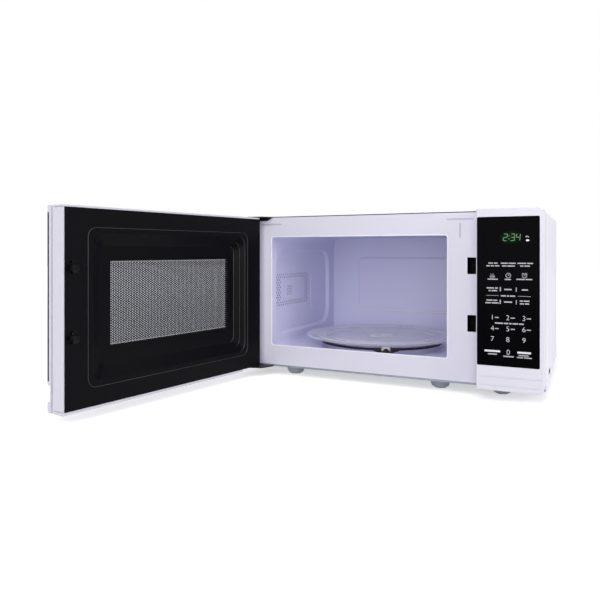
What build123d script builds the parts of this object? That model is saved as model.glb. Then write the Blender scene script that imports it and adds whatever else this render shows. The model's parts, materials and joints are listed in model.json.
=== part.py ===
"""Countertop microwave oven with its door standing open.

Origin: centre of the cabinet's footprint, on the counter under the feet.
+X is to the right of the user, +Y runs from the door to the back, +Z is up. Millimetres.
"""
import os
from math import cos, radians, sin

from build123d import *

os.makedirs("parts", exist_ok=True)

# ---- cabinet ----
cab_w = 452.0  # over the side panels
cab_d = 298.0  # from the front frame to the back panel
cab_top = 258.0  # roof above the counter
foot_h = 14.0
foot_r = 17.0
foot_taper = 24.0
foot_inset = 30.0  # front and rear feet from the ends of the cabinet
foot_xs = (-157.0, 80.0, 167.0)  # front feet, the right pair under the heavy compartment
sheet = 0.6
bend_r = 7.0
skirt = 2.0  # the sides stop this far above the base plate's underside
base_lip = 3.0
base_sheet = 0.8
back_sheet = 0.7
tab_w = 16.0
tab_h = 14.0
tab_rise = 38.0  # cavity floor to the side tabs
screw_d = 3.5
screw_head_d = 7.5
screw_head_h = 2.0
slot_vent_w = 3.0
slot_vent_pitch = 7.0

# ---- front frame and cooking cavity ----
frame_t = 1.2
frame_top_gap = 1.2  # seam between the frame and the cabinet's roof
bead_w = 2.4
bead_depth = 0.5
open_w = 284.0
open_h = 177.0
open_left = 38.5  # cabinet side to the opening
open_bottom = 48.0  # counter to the opening
open_r = 4.0
cav_side_step = 3.0  # cavity wider than the opening, each side
cav_roof_step = 2.0
cav_floor_step = 10.0
cav_d = 281.0
cav_r = 12.0
cav_sheet = 0.6
wall_boss_depth = 6.0
wall_boss_r = 32.0
wall_boss_taper = 35.0
wall_boss_front = 22.0
wall_boss_back = 26.0
wall_boss_rim_z = 20.0
back_boss_w = 181.0
back_boss_h = 103.0
back_boss_low = 47.0  # cavity floor to the boss
back_boss_depth = 2.0
back_boss_r = 10.0
back_boss_taper = 40.0
perf_w = 2.4  # each hole is square, standing on a corner
perf_pitch_y = 7.4
perf_pitch_z = 4.3
perf_front = 9.0  # boss edge to the first column of holes
perf_cols = 18
perf_rows = 13
perf_low = 49.0  # boss edge to the lowest row
perf_ring_front = 3  # columns of holes down the front of the ring
perf_ring_back = 2
perf_ring_rows = 2
perf_cluster_col = 6
perf_cluster_row = 4
perf_cluster_n = (3, 4)
pad_front = 12.0  # last column of holes to the plain pad behind them
pad_w = 48.0
pad_h = 67.0
pad_low = 34.0
pad_depth = 0.6
pad_r = 5.0

# ---- turntable ----
plate_d = 255.0
plate_t = 4.5
plate_rim_h = 6.5
plate_track_w = 20.0
plate_brim = 15.5  # roller track to the plate's edge
wheel_d = 14.0
wheel_w = 5.0
wheel_bore = 2.8
ring_w = 6.0
ring_h = 3.0
ring_rise = 0.4  # wheel axles to the underside of the ring
carrier_w = 12.0  # block that holds a wheel, along the axle
carrier_foot = 20.0
carrier_len = 40.0
carrier_drop = 3.0
cheek_foot = 1.2
cheek_tip = 3.6
axle_d = 2.6
run_gap = 0.15  # rolling and turning pieces to what they rest on
wheel_gap = 0.5
coupler_r = 14.0
coupler_h = 5.0
lobe_h = 3.0
lobe_w = 6.0
lug_gap = 0.5
motor_d = 49.0
motor_h = 15.0
shaft_d = 7.0
fit_gap = 0.05

# ---- control panel ----
fascia_w = 85.0
door_t = 33.0  # door and control panel stand this far in front of the frame
front_low = 16.0  # counter to the lower edge of door and panel
fascia_wall = 2.2
fascia_r = 9.0
overlay_t = 0.6
overlay_low = 33.0  # lower edge of the panel to the dark overlay
overlay_top = 10.6
overlay_right = 5.5
overlay_r = 2.0
groove_w = 1.2
groove_depth = 0.6
groove_zs = (7.0, 18.5)
display_w = 42.0
display_h = 22.0
display_from_top = 16.0
board_t = 1.6

# ---- door ----
door_angle = 99.5
door_gap = 1.5
door_clear = 1.5
hinge_inset = 8.5  # hinge line from the cabinet's left side
hinge_front = 18.0  # hinge line in front of the frame
hinge_d = 6.0
pin_len = 12.0
leaf_t = 2.0
leaf_gap = 1.0
top_leaf_t = 1.4
top_leaf_gap = 0.4
leaf_w = 40.0  # along the frame
leaf_heel = 4.5
door_edge_gap = 0.5
door_low = 12.0  # counter to the door's lower edge
door_wall = 2.5
glass_t = 3.0
bezel_t = 4.0
bezel_lap = 20.0  # window to the opening in the surround, along the door
edge_groove_w = 4.0
edge_groove_depth = 2.5
parting_w = 1.2
parting_depth = 1.5
heel_r = 3.0
grip_w = 60.0
grip_h = 20.0
grip_low = 12.0
grip_depth = 5.5
cover_t = 1.2
cover_inset = 2.0
cover_top_inset = 2.6
cover_lap_x = 10.0  # cover's groove outside the cavity opening
cover_lap_low = 10.0
cover_lap_top = 5.5
cover_r = 12.0
cover_groove_w = 1.6
cover_groove_depth = 0.6
dish_inset = 7.0
dish_depth = 8.0
dish_floor_left = 18.5
dish_floor_side = 15.5
dish_r = 14.0
window_w = 222.0
window_h = 107.0
window_low = 23.0  # dish floor's lower edge to the window
window_left = 11.5
screen_t = 0.5
screen_lap = 7.0
choke_sheet = 0.6
choke_lip = 8.0
choke_slot_w = 3.0
choke_pitch = 22.0
choke_gap = 0.4

# ---- latch ----
latch_travel = 4.0
latch_zs = (100.0, 181.0)
latch_bar_w = 8.0
latch_bar_t = 5.0
latch_bar_over = 14.0
hook_t = 5.0
hook_h = 9.0
hook_reach = 14.0
hook_nose = 3.0
slot_w = 12.0
slot_h = 23.5
latch_from_edge = 11.0
spring_r = 2.4
spring_wire = 0.7
spring_len = 18.0
plunger_d = 3.0
plunger_travel = 1.2

# ---- positions that follow from the sizes ----
plate_r = plate_d / 2
track_out = plate_r - plate_brim
plate_well_r = track_out - plate_track_w
ring_r = (track_out + plate_well_r) / 2 - 2.0
front_y = -cab_d / 2
back_y = cab_d / 2
left_x = -cab_w / 2
right_x = cab_w / 2
base_z = foot_h
deck_z = base_z + base_sheet
inner_top = cab_top - sheet
frame_low = base_z + base_lip
frame_top = inner_top - frame_top_gap
frame_back = front_y + frame_t
open_x0 = left_x + open_left
open_x1 = open_x0 + open_w
open_top = open_bottom + open_h
open_x = (open_x0 + open_x1) / 2
open_z = (open_bottom + open_top) / 2
cav_x0 = open_x0 - cav_side_step
cav_x1 = open_x1 + cav_side_step
floor_z = open_bottom - cav_floor_step
roof_z = open_top + cav_roof_step
cav_h = roof_z - floor_z
cav_z = (floor_z + roof_z) / 2
cav_y1 = front_y + cav_d
cav_y = (front_y + cav_y1) / 2 - 3.0
tab_z = floor_z + tab_rise
bay_x0 = cav_x1 + cav_sheet
bay_x1 = right_x - sheet
bay_x = (bay_x0 + bay_x1) / 2
panel_back = back_y - back_sheet

fascia_x0 = right_x - fascia_w
front_face = front_y - door_t
front_high = cab_top
top_leaf_z = inner_top - top_leaf_t
low_leaf_z = front_low - leaf_gap - leaf_t
door_high = top_leaf_z - top_leaf_gap
hinge_x = left_x + hinge_inset
hinge_y = front_y - hinge_front
door_x0 = door_edge_gap - hinge_inset
door_x1 = fascia_x0 - door_gap - hinge_x
door_back = hinge_front - door_clear
door_front = hinge_front - door_t
slot_x = fascia_x0 - latch_from_edge
latch_x = slot_x - hinge_x

ang = radians(door_angle)
door_dir = Vector(cos(ang), -sin(ang), 0)
inward = Vector(sin(ang), cos(ang), 0)


def front(y):
    """Upright plane at depth y that faces the user; sketch axes X and Z."""
    return Plane(origin=(0, y, 0), x_dir=(1, 0, 0), z_dir=(0, -1, 0))


def side(x):
    """Upright plane at x that faces +X; sketch axes Y and Z."""
    return Plane(origin=(x, 0, 0), x_dir=(0, 1, 0), z_dir=(1, 0, 0))


def door_face(y):
    """Plane parallel to the open door, y from the hinge line; sketch axes along the door and Z."""
    return Plane(origin=Vector(hinge_x, hinge_y, 0) + inward * y, x_dir=door_dir, z_dir=-inward)


def door_plan(z):
    """Level plane in the open door's own axes, from the hinge line."""
    return Plane(origin=(hinge_x, hinge_y, z), x_dir=door_dir, z_dir=(0, 0, 1))


def door_side(x):
    """Upright plane across the door at x from the hinge line; sketch axes depth and Z."""
    return Plane(origin=Vector(hinge_x, hinge_y, 0) + door_dir * x, x_dir=inward, z_dir=door_dir)


def finish(part, name):
    """Label one piece and write its STEP file."""
    part.part.label = name
    export_step(part.part, f"parts/{name}.step")


# ================= cabinet =================
back_foot_y = back_y - foot_inset
front_foot_y = front_y + foot_inset
foot_spots = [(x, front_foot_y) for x in foot_xs] + [(foot_xs[0], back_foot_y), (foot_xs[2], back_foot_y)]

with BuildPart() as base_plate:
    with BuildSketch(Plane.XY.offset(base_z)):
        with Locations((0, (front_y + panel_back) / 2)):
            Rectangle(2 * bay_x1, panel_back - front_y)
    extrude(amount=base_lip)
    with BuildSketch(Plane.XY.offset(deck_z)):
        with Locations((0, (front_y + panel_back) / 2)):
            Rectangle(2 * (bay_x1 - base_sheet), panel_back - front_y - 2 * base_sheet)
    extrude(amount=base_lip, mode=Mode.SUBTRACT)
    with BuildSketch(Plane.XY.offset(base_z)):
        with Locations((open_x, front_foot_y + 60), (open_x, back_foot_y - 30)):
            with GridLocations(slot_vent_pitch * 2, 0, 9, 1):
                Rectangle(slot_vent_w, 34)
    extrude(amount=base_sheet, mode=Mode.SUBTRACT)
finish(base_plate, "base_plate")

with BuildPart() as feet:
    with BuildSketch(Plane.XY.offset(base_z)):
        with Locations(*foot_spots):
            Circle(foot_r)
    extrude(amount=-foot_h, taper=foot_taper)
    chamfer(feet.edges().group_by(Axis.Z)[0], 3.0)
finish(feet, "feet")

vent_front = 64.0  # low side slot, from the front frame
vent_len = 40.0
vent_h = 8.0
vent_low = 7.0
louvre_n = 12
louvre_h = 46.0
louvre_front = 90.0

with BuildPart() as outer_cabinet:
    with BuildSketch(front(front_y)) as wrap_outline:
        with Locations((0, (cab_top + base_z + skirt) / 2)):
            Rectangle(cab_w, cab_top - base_z - skirt)
        fillet(wrap_outline.vertices().group_by(Axis.Y)[-1], bend_r)
        with BuildSketch(front(front_y), mode=Mode.SUBTRACT) as wrap_inside:
            with Locations((0, inner_top / 2)):
                Rectangle(2 * bay_x1, inner_top)
            fillet(wrap_inside.vertices().group_by(Axis.Y)[-1], bend_r - sheet)
    extrude(amount=-cab_d)
    with BuildSketch(front(back_y + sheet)):
        with Locations((left_x + tab_w / 2, tab_z), (right_x - tab_w / 2, tab_z)):
            Rectangle(tab_w, tab_h)
        with Locations((0, cab_top - tab_h / 2)):
            Rectangle(tab_w, tab_h)
    extrude(amount=sheet)
    with BuildSketch(side(right_x)):
        with Locations((front_y + vent_front + vent_len / 2, base_z + skirt + vent_low + vent_h / 2)):
            SlotOverall(vent_len, vent_h)
    extrude(amount=-2 * sheet, mode=Mode.SUBTRACT)
    with BuildSketch(side(left_x)):
        with Locations((front_y + louvre_front, roof_z - louvre_h)):
            with GridLocations(slot_vent_pitch, 0, louvre_n, 1):
                Rectangle(slot_vent_w, louvre_h)
    extrude(amount=2 * sheet, mode=Mode.SUBTRACT)
    with BuildSketch(front(back_y + sheet)):
        with Locations((left_x + tab_w / 2, tab_z), (right_x - tab_w / 2, tab_z), (0, cab_top - tab_h / 2)):
            Circle(screw_d / 2)
    extrude(amount=-2 * sheet, both=True, mode=Mode.SUBTRACT)
finish(outer_cabinet, "outer_cabinet")

fan_z = 150.0
fan_r = 48.0
fan_x = bay_x
cord_x = right_x - 30.0
cord_z = base_z + 24.0
cord_bore = 7.0
bushing_body = 13.0
bushing_flange = 19.0

with BuildPart() as back_panel:
    with BuildSketch(front(panel_back)) as back_outline:
        with Locations((0, (base_z + inner_top) / 2)):
            Rectangle(2 * bay_x1, inner_top - base_z)
        fillet(back_outline.vertices().group_by(Axis.Y)[-1], bend_r - sheet)
    extrude(amount=-back_sheet)
    with BuildSketch(front(panel_back)):
        with Locations((fan_x, fan_z)):
            with GridLocations(0, slot_vent_pitch, 1, 12):
                Rectangle(86, slot_vent_w)
        with Locations((open_x, roof_z - 30)):
            with GridLocations(slot_vent_pitch * 2, 0, 8, 1):
                Rectangle(slot_vent_w, 30)
        with Locations((left_x + tab_w / 2, tab_z), (right_x - tab_w / 2, tab_z), (0, cab_top - tab_h / 2)):
            Circle(screw_d / 2)
        with Locations((cord_x, cord_z)):
            Circle(bushing_body / 2 + fit_gap)
    extrude(amount=-back_sheet, mode=Mode.SUBTRACT)
finish(back_panel, "back_panel")

with BuildPart() as cord_bushing:
    with BuildSketch(front(back_y)):
        with Locations((cord_x, cord_z)):
            Circle(bushing_flange / 2)
    extrude(amount=-3)
    with BuildSketch(front(back_y)):
        with Locations((cord_x, cord_z)):
            Circle(bushing_body / 2)
    extrude(amount=back_sheet + 8)
    with BuildSketch(front(panel_back)):
        with Locations((cord_x, cord_z)):
            Circle(bushing_body / 2 + 1.2)
    extrude(amount=4)
    with BuildSketch(front(back_y + 3)):
        with Locations((cord_x, cord_z)):
            Circle(cord_bore / 2)
    extrude(amount=back_sheet + 12, mode=Mode.SUBTRACT)
finish(cord_bushing, "cord_bushing")

with BuildPart() as cabinet_screws:
    with BuildSketch(front(back_y + sheet)):
        with Locations((left_x + tab_w / 2, tab_z), (right_x - tab_w / 2, tab_z), (0, cab_top - tab_h / 2)):
            Circle(screw_head_d / 2)
    extrude(amount=-screw_head_h)
    with BuildSketch(front(back_y + sheet)):
        with Locations((left_x + tab_w / 2, tab_z), (right_x - tab_w / 2, tab_z), (0, cab_top - tab_h / 2)):
            Circle(screw_d / 2 - fit_gap)
    extrude(amount=8)
finish(cabinet_screws, "cabinet_screws")

# ================= front frame =================
bead_low = 12.5
bead_t_x = fascia_x0 - 27.0

with BuildPart() as cavity_front_frame:
    with BuildSketch(front(front_y)) as frame_outline:
        with Locations((0, (frame_low + frame_top) / 2)):
            Rectangle(2 * bay_x1, frame_top - frame_low)
        fillet(frame_outline.vertices().group_by(Axis.Y)[-1], bend_r - sheet)
        with Locations((open_x, open_z)):
            RectangleRounded(open_w, open_h, open_r, mode=Mode.SUBTRACT)
        with Locations(*[(slot_x, z) for z in latch_zs]):
            Rectangle(slot_w, slot_h, mode=Mode.SUBTRACT)
        with Locations((fascia_x0 + fascia_w / 2, cav_z)):
            Rectangle(fascia_w - 30, open_h - 20, mode=Mode.SUBTRACT)
    extrude(amount=-frame_t)
    with BuildSketch(front(front_y)):
        with Locations((bead_t_x, inner_top - bead_low + 2)):
            SlotOverall(38, bead_w)
        with Locations((bead_t_x, inner_top - bead_low - 14)):
            SlotOverall(21, bead_w, rotation=90)
        with Locations((left_x + 38, inner_top - bead_low)):
            SlotOverall(38, bead_w)
    extrude(amount=-bead_depth, mode=Mode.SUBTRACT)
finish(cavity_front_frame, "cavity_front_frame")

# ================= cooking cavity =================
port_w = 78.0
port_h = 40.0
guide_from_front = 172.0
guide_y = front_y + guide_from_front
guide_z = cav_z + 22.0
hub_hole = shaft_d + 5.0

with BuildPart() as cavity_wrapper:
    with BuildSketch(front(frame_back)) as tube_outline:
        with Locations((open_x, cav_z)):
            RectangleRounded(cav_x1 - cav_x0 + 2 * cav_sheet, cav_h + 2 * cav_sheet, cav_r + cav_sheet)
            RectangleRounded(cav_x1 - cav_x0, cav_h, cav_r, mode=Mode.SUBTRACT)
        with Locations((cav_x0, cav_z)):
            Rectangle(2 * cav_sheet, cav_h - 2 * cav_r, mode=Mode.SUBTRACT)
    extrude(amount=-(cav_y1 - frame_back))
    with BuildSketch(side(cav_x1)):
        with Locations((guide_y, guide_z)):
            Rectangle(port_w, port_h)
    extrude(amount=cav_sheet, mode=Mode.SUBTRACT)
    with BuildSketch(Plane.XY.offset(floor_z)):
        with Locations((open_x, cav_y)):
            Circle(hub_hole / 2)
    extrude(amount=-cav_sheet, mode=Mode.SUBTRACT)
finish(cavity_wrapper, "cavity_wrapper")

boss_y0 = frame_back + wall_boss_front
boss_y1 = cav_y1 - wall_boss_back
boss_h = cav_h - 2 * cav_r - wall_boss_rim_z
boss_y = (boss_y0 + boss_y1) / 2
boss_z0 = cav_z - boss_h / 2
perf_y0 = boss_y0 + perf_front
perf_z0 = boss_z0 + perf_low
pad_y = perf_y0 + perf_cols * perf_pitch_y + pad_front + pad_w / 2
pad_z = boss_z0 + pad_low + pad_h / 2


def has_hole(i, j):
    """Holes stand in a rectangular ring, with a small cluster inside it for the lamp."""
    in_ring = i < perf_ring_front or i >= perf_cols - perf_ring_back
    in_ring = in_ring or j < perf_ring_rows or j >= perf_rows - perf_ring_rows
    in_cluster = 0 <= i - perf_cluster_col < perf_cluster_n[0] and 0 <= j - perf_cluster_row < perf_cluster_n[1]
    return in_ring or in_cluster


perf_spots = [
    (perf_y0 + (i + j % 2 / 2) * perf_pitch_y, perf_z0 + j * perf_pitch_z)
    for i in range(perf_cols)
    for j in range(perf_rows)
    if has_hole(i, j)
]

with BuildPart() as cavity_left_wall:
    with BuildSketch(side(cav_x0)):
        with Locations(((frame_back + cav_y1) / 2, cav_z)):
            Rectangle(cav_y1 - frame_back, cav_h - 2 * cav_r)
    extrude(amount=-cav_sheet)
    with BuildSketch(side(cav_x0 - cav_sheet)):
        with Locations((boss_y, cav_z)):
            RectangleRounded(boss_y1 - boss_y0 + 2 * cav_sheet, boss_h + 2 * cav_sheet, wall_boss_r + cav_sheet)
    extrude(amount=-wall_boss_depth, taper=wall_boss_taper)
    with BuildSketch(side(cav_x0)):
        with Locations((boss_y, cav_z)):
            RectangleRounded(boss_y1 - boss_y0, boss_h, wall_boss_r)
    extrude(amount=-wall_boss_depth, taper=wall_boss_taper, mode=Mode.SUBTRACT)
    with BuildSketch(side(cav_x0)):
        with Locations(*perf_spots):
            Rectangle(perf_w, perf_w, rotation=45)
    extrude(amount=-(wall_boss_depth + cav_sheet), mode=Mode.SUBTRACT)
    with BuildSketch(side(cav_x0 - wall_boss_depth + pad_depth)):
        with Locations((pad_y, pad_z)):
            RectangleRounded(pad_w, pad_h, pad_r)
    extrude(amount=-pad_depth, taper=-30)
finish(cavity_left_wall, "cavity_left_wall")

boss2_z = floor_z + back_boss_low + back_boss_h / 2
with BuildPart() as cavity_back_wall:
    with BuildSketch(front(cav_y1)):
        with Locations((open_x, cav_z)):
            RectangleRounded(cav_x1 - cav_x0 + 2 * cav_sheet, cav_h + 2 * cav_sheet, cav_r + cav_sheet)
    extrude(amount=-cav_sheet)
    with BuildSketch(front(cav_y1)):
        with Locations((open_x, boss2_z)):
            RectangleRounded(back_boss_w, back_boss_h, back_boss_r)
    extrude(amount=back_boss_depth, taper=back_boss_taper)
    with BuildSketch(front(cav_y1 + cav_sheet)):
        with Locations((open_x, boss2_z)):
            RectangleRounded(back_boss_w - 2 * cav_sheet, back_boss_h - 2 * cav_sheet, back_boss_r - cav_sheet)
    extrude(amount=back_boss_depth, taper=back_boss_taper, mode=Mode.SUBTRACT)
finish(cavity_back_wall, "cavity_back_wall")

mica_t = 0.6
mica_lap = 10.0
with BuildPart() as waveguide_cover:
    with BuildSketch(side(cav_x1)):
        with Locations((guide_y, guide_z)):
            RectangleRounded(port_w + 2 * mica_lap, port_h + 2 * mica_lap, 6)
    extrude(amount=-mica_t)
finish(waveguide_cover, "waveguide_cover")

guide_w = port_w + 10.0
guide_h = port_h + 34.0
guide_depth = 34.0
antenna_d = 14.0
with BuildPart() as waveguide:
    with BuildSketch(side(bay_x0)):
        with Locations((guide_y, guide_z)):
            Rectangle(guide_w, guide_h)
    extrude(amount=guide_depth)
    offset(amount=-cav_sheet, openings=waveguide.faces().sort_by(Axis.X)[0])
    with BuildSketch(side(bay_x0 + guide_depth)):
        with Locations((guide_y, guide_z)):
            Circle(antenna_d / 2 + 3)
    extrude(amount=-2 * cav_sheet, mode=Mode.SUBTRACT)
    with BuildSketch(side(bay_x0)):
        with Locations((guide_y, guide_z)):
            Rectangle(guide_w + 16, guide_h)
            Rectangle(guide_w - 2 * cav_sheet, guide_h, mode=Mode.SUBTRACT)
    extrude(amount=cav_sheet)
finish(waveguide, "waveguide")

# ================= magnetron =================
mag_x0 = bay_x0 + guide_depth
mag_len = 46.0
mag_w = 70.0
mag_h = 72.0
mag_plate = 2.0
anode_d = 36.0
fin_n = 6
fin_t = 0.8
with BuildPart() as magnetron_yoke:
    with BuildSketch(front(guide_y - mag_w / 2)):
        with Locations((mag_x0 + mag_len / 2, guide_z)):
            Rectangle(mag_len, mag_h)
            Rectangle(mag_len - 2 * mag_plate, mag_h - 2 * mag_plate, mode=Mode.SUBTRACT)
    extrude(amount=-mag_w)
    with BuildSketch(side(mag_x0)):
        with Locations((guide_y, guide_z)):
            Circle(antenna_d / 2 + fit_gap)
    extrude(amount=mag_len, mode=Mode.SUBTRACT)
finish(magnetron_yoke, "magnetron_yoke")

fin_span = mag_len - 2 * mag_plate
with BuildPart() as magnetron_core:
    with BuildSketch(side(mag_x0 + mag_plate)):
        with Locations((guide_y, guide_z)):
            Circle(anode_d / 2)
    extrude(amount=fin_span)
    for k in range(fin_n):
        with BuildSketch(side(mag_x0 + mag_plate + (k + 0.5) * fin_span / fin_n)):
            with Locations((guide_y, guide_z)):
                Rectangle(mag_w - 6, mag_h - 2 * mag_plate)
        extrude(amount=fin_t)
    with BuildSketch(side(mag_x0 + mag_plate)):
        with Locations((guide_y, guide_z)):
            Circle(antenna_d / 2)
    extrude(amount=-(mag_plate + guide_depth * 0.6))
finish(magnetron_core, "magnetron_core")

filter_w = 54.0
filter_depth = 26.0
with BuildPart() as magnetron_filter_box:
    with BuildSketch(side(mag_x0 + mag_len)):
        with Locations((guide_y, guide_z)):
            Rectangle(filter_w, filter_w)
    extrude(amount=filter_depth)
    fillet(magnetron_filter_box.edges().filter_by(Axis.X), 3)
    offset(amount=-cav_sheet, openings=magnetron_filter_box.faces().sort_by(Axis.X)[0])
finish(magnetron_filter_box, "magnetron_filter_box")

# ================= high voltage parts on the base plate =================
trafo_x = bay_x
trafo_from_front = 114.0
trafo_y = front_y + trafo_from_front
core_w = 50.0
core_d = 96.0
core_h = 80.0
core_leg = 16.0
coil_h = core_h - 2 * core_leg
core_win = (core_d - 4 * core_leg) / 2
with BuildPart() as transformer_core:
    with BuildSketch(side(trafo_x - core_w / 2)):
        with Locations((trafo_y, deck_z + core_h / 2)):
            Rectangle(core_d, core_h)
        for s in (-1, 1):
            with Locations((trafo_y + s * (core_leg + core_win / 2), deck_z + core_h / 2)):
                Rectangle(core_win, coil_h, mode=Mode.SUBTRACT)
    extrude(amount=core_w)
    with BuildSketch(Plane.XY.offset(deck_z)):
        with Locations((trafo_x, trafo_y)):
            Rectangle(core_w + 24, core_d - 20)
    extrude(amount=2)
finish(transformer_core, "transformer_core")

coil_over = 12.0
with BuildPart() as transformer_windings:
    for z0, part_h in ((0.0, 0.36), (0.44, 0.56)):
        with BuildSketch(Plane.XY.offset(deck_z + core_leg + z0 * coil_h)):
            with Locations((trafo_x, trafo_y)):
                RectangleRounded(core_w + 2 * coil_over, core_d - 2 * core_leg, coil_over)
                Rectangle(core_w, 2 * core_leg, mode=Mode.SUBTRACT)
        extrude(amount=part_h * coil_h)
finish(transformer_windings, "transformer_windings")

cap_x = bay_x
cap_y = back_y - 70.0
cap_w = 50.0
cap_t = 32.0
cap_len = 84.0
with BuildPart() as capacitor:
    with BuildSketch(front(cap_y - cap_len / 2)):
        with Locations((cap_x, deck_z + cap_t / 2)):
            SlotOverall(cap_w, cap_t)
    extrude(amount=-cap_len)
    with BuildSketch(front(cap_y - cap_len / 2)):
        with Locations((cap_x - 9, deck_z + cap_t / 2), (cap_x + 9, deck_z + cap_t / 2)):
            Rectangle(6.3, 0.8)
    extrude(amount=8)
finish(capacitor, "capacitor")

with BuildPart() as capacitor_clamp:
    with BuildSketch(front(cap_y - 8)):
        with Locations((cap_x, deck_z + cap_t / 2)):
            SlotOverall(cap_w + 2, cap_t + 2)
        with Locations((cap_x, deck_z + 0.5)):
            Rectangle(cap_w + 18, 1)
        with Locations((cap_x, deck_z + cap_t / 2)):
            SlotOverall(cap_w, cap_t, mode=Mode.SUBTRACT)
        with Locations((cap_x, deck_z - 5)):
            Rectangle(cap_w + 30, 10, mode=Mode.SUBTRACT)
    extrude(amount=-16)
finish(capacitor_clamp, "capacitor_clamp")

diode_x = cap_x + cap_w / 2 + 16.0
with BuildPart() as high_voltage_diode:
    with BuildSketch(Plane.XY.offset(deck_z)):
        with Locations((diode_x, cap_y - 22)):
            Rectangle(10, 16)
    extrude(amount=1)
    with BuildSketch(Plane.XY.offset(deck_z + 1)):
        with Locations((diode_x, cap_y - 22)):
            Circle(4)
    extrude(amount=18)
finish(high_voltage_diode, "high_voltage_diode")

# ================= cooling fan =================
duct_side = 2 * fan_r + 14.0
duct_depth = 26.0
fan_gap = 2.0
fan_shaft_d = 3.0
duct_front = panel_back - duct_depth
with BuildPart() as fan_duct:
    with BuildSketch(front(panel_back)):
        with Locations((fan_x, fan_z)):
            RectangleRounded(duct_side, duct_side, 5)
            Circle(fan_r + fan_gap, mode=Mode.SUBTRACT)
    extrude(amount=duct_depth)
    with BuildSketch(front(duct_front)):
        with Locations((fan_x, fan_z)):
            Rectangle(duct_side, 9)
            Circle(fan_shaft_d / 2 + 2, mode=Mode.SUBTRACT)
    extrude(amount=3)
finish(fan_duct, "fan_duct")

fan_motor_w = 46.0
fan_motor_t = 20.0
fan_motor_front = duct_front - 3.0 - fan_motor_t
with BuildPart() as fan_motor:
    with BuildSketch(front(duct_front - 3)):
        with Locations((fan_x, fan_z)):
            RectangleRounded(fan_motor_w, fan_motor_w, 4)
    extrude(amount=fan_motor_t)
    with BuildSketch(front(duct_front - 3)):
        with Locations((fan_x, fan_z)):
            Circle(fan_shaft_d / 2)
    extrude(amount=-18)
finish(fan_motor, "fan_motor")

blade_n = 5
hub_r = 12.0
hub_len = 12.0
blade_y = duct_front + 5.0
blade_pitch = 28.0
with BuildPart() as fan_blade:
    with BuildSketch(front(blade_y)):
        with Locations((fan_x, fan_z)):
            Circle(hub_r)
    extrude(amount=-hub_len)
    for k in range(blade_n):
        spoke = Plane(
            origin=(fan_x, blade_y + hub_len / 2, fan_z),
            x_dir=(0, 1, 0),
            z_dir=(cos(radians(k * 360 / blade_n)), 0, sin(radians(k * 360 / blade_n))),
        )
        with BuildSketch(spoke.offset(hub_r * 0.8)):
            Rectangle(1.2, 18, rotation=blade_pitch + 34)
        with BuildSketch(spoke.offset(fan_r)):
            Rectangle(1.2, 34, rotation=blade_pitch + 44)
        loft()
    with BuildSketch(front(blade_y)):
        with Locations((fan_x, fan_z)):
            Circle(fan_r)
    extrude(amount=-hub_len, mode=Mode.INTERSECT)
    with BuildSketch(front(blade_y)):
        with Locations((fan_x, fan_z)):
            Circle(fan_shaft_d / 2 + fit_gap)
    extrude(amount=-hub_len, mode=Mode.SUBTRACT)
finish(fan_blade, "fan_blade")

# ================= small electrical parts =================
lamp_y = perf_y0 + (perf_cluster_col + 1) * perf_pitch_y
lamp_z = perf_z0 + (perf_cluster_row + 2) * perf_pitch_z
lamp_wall = cav_x0 - cav_sheet - wall_boss_depth
lamp_gap = 3.0
with BuildPart() as lamp_holder:
    with BuildSketch(side(lamp_wall)):
        with Locations((lamp_y, lamp_z)):
            Rectangle(30, 34)
            Rectangle(26, 30, mode=Mode.SUBTRACT)
    extrude(amount=-(lamp_wall - left_x - sheet - lamp_gap))
    with BuildSketch(Plane.XY.offset(lamp_z - 17)):
        with Locations((lamp_wall - 11, lamp_y)):
            Rectangle(18, 26)
    extrude(amount=3)
finish(lamp_holder, "lamp_holder")

lamp_r = 8.0
lamp_base_h = 8.0
lamp_bulb_h = 18.0
with BuildPart() as cavity_lamp:
    with BuildSketch(Plane.XY.offset(lamp_z - lamp_base_h - 6)):
        with Locations((lamp_wall - 11, lamp_y)):
            Circle(lamp_r * 0.75)
    extrude(amount=lamp_base_h)
    with BuildSketch(Plane.XY.offset(lamp_z - 6)):
        with Locations((lamp_wall - 11, lamp_y)):
            Circle(lamp_r)
    extrude(amount=lamp_bulb_h)
    chamfer(cavity_lamp.edges().group_by(Axis.Z)[-1], lamp_r * 0.4)
finish(cavity_lamp, "cavity_lamp")

with BuildPart() as thermal_cutout:
    with BuildSketch(side(bay_x0)):
        with Locations((front_y + 70, cav_z + 30)):
            Circle(8)
    extrude(amount=9)
    with BuildSketch(side(bay_x0)):
        with Locations((front_y + 70, cav_z + 30)):
            SlotOverall(30, 9, rotation=90)
    extrude(amount=1)
    with BuildSketch(side(bay_x0 + 9)):
        with Locations((front_y + 66, cav_z + 30), (front_y + 74, cav_z + 30)):
            Rectangle(0.8, 6.3)
    extrude(amount=8)
finish(thermal_cutout, "thermal_cutout")

with BuildPart() as filter_board:
    with BuildSketch(Plane.XY.offset(fan_z + duct_side / 2)):
        with Locations((fan_x, panel_back - duct_depth / 2)):
            Rectangle(duct_side - 20, duct_depth)
    extrude(amount=board_t)
    with BuildSketch(Plane.XY.offset(fan_z + duct_side / 2 + board_t)):
        with Locations((fan_x - 22, panel_back - duct_depth / 2), (fan_x + 22, panel_back - duct_depth / 2)):
            Rectangle(26, 20)
    extrude(amount=16)
finish(filter_board, "filter_board")

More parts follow.
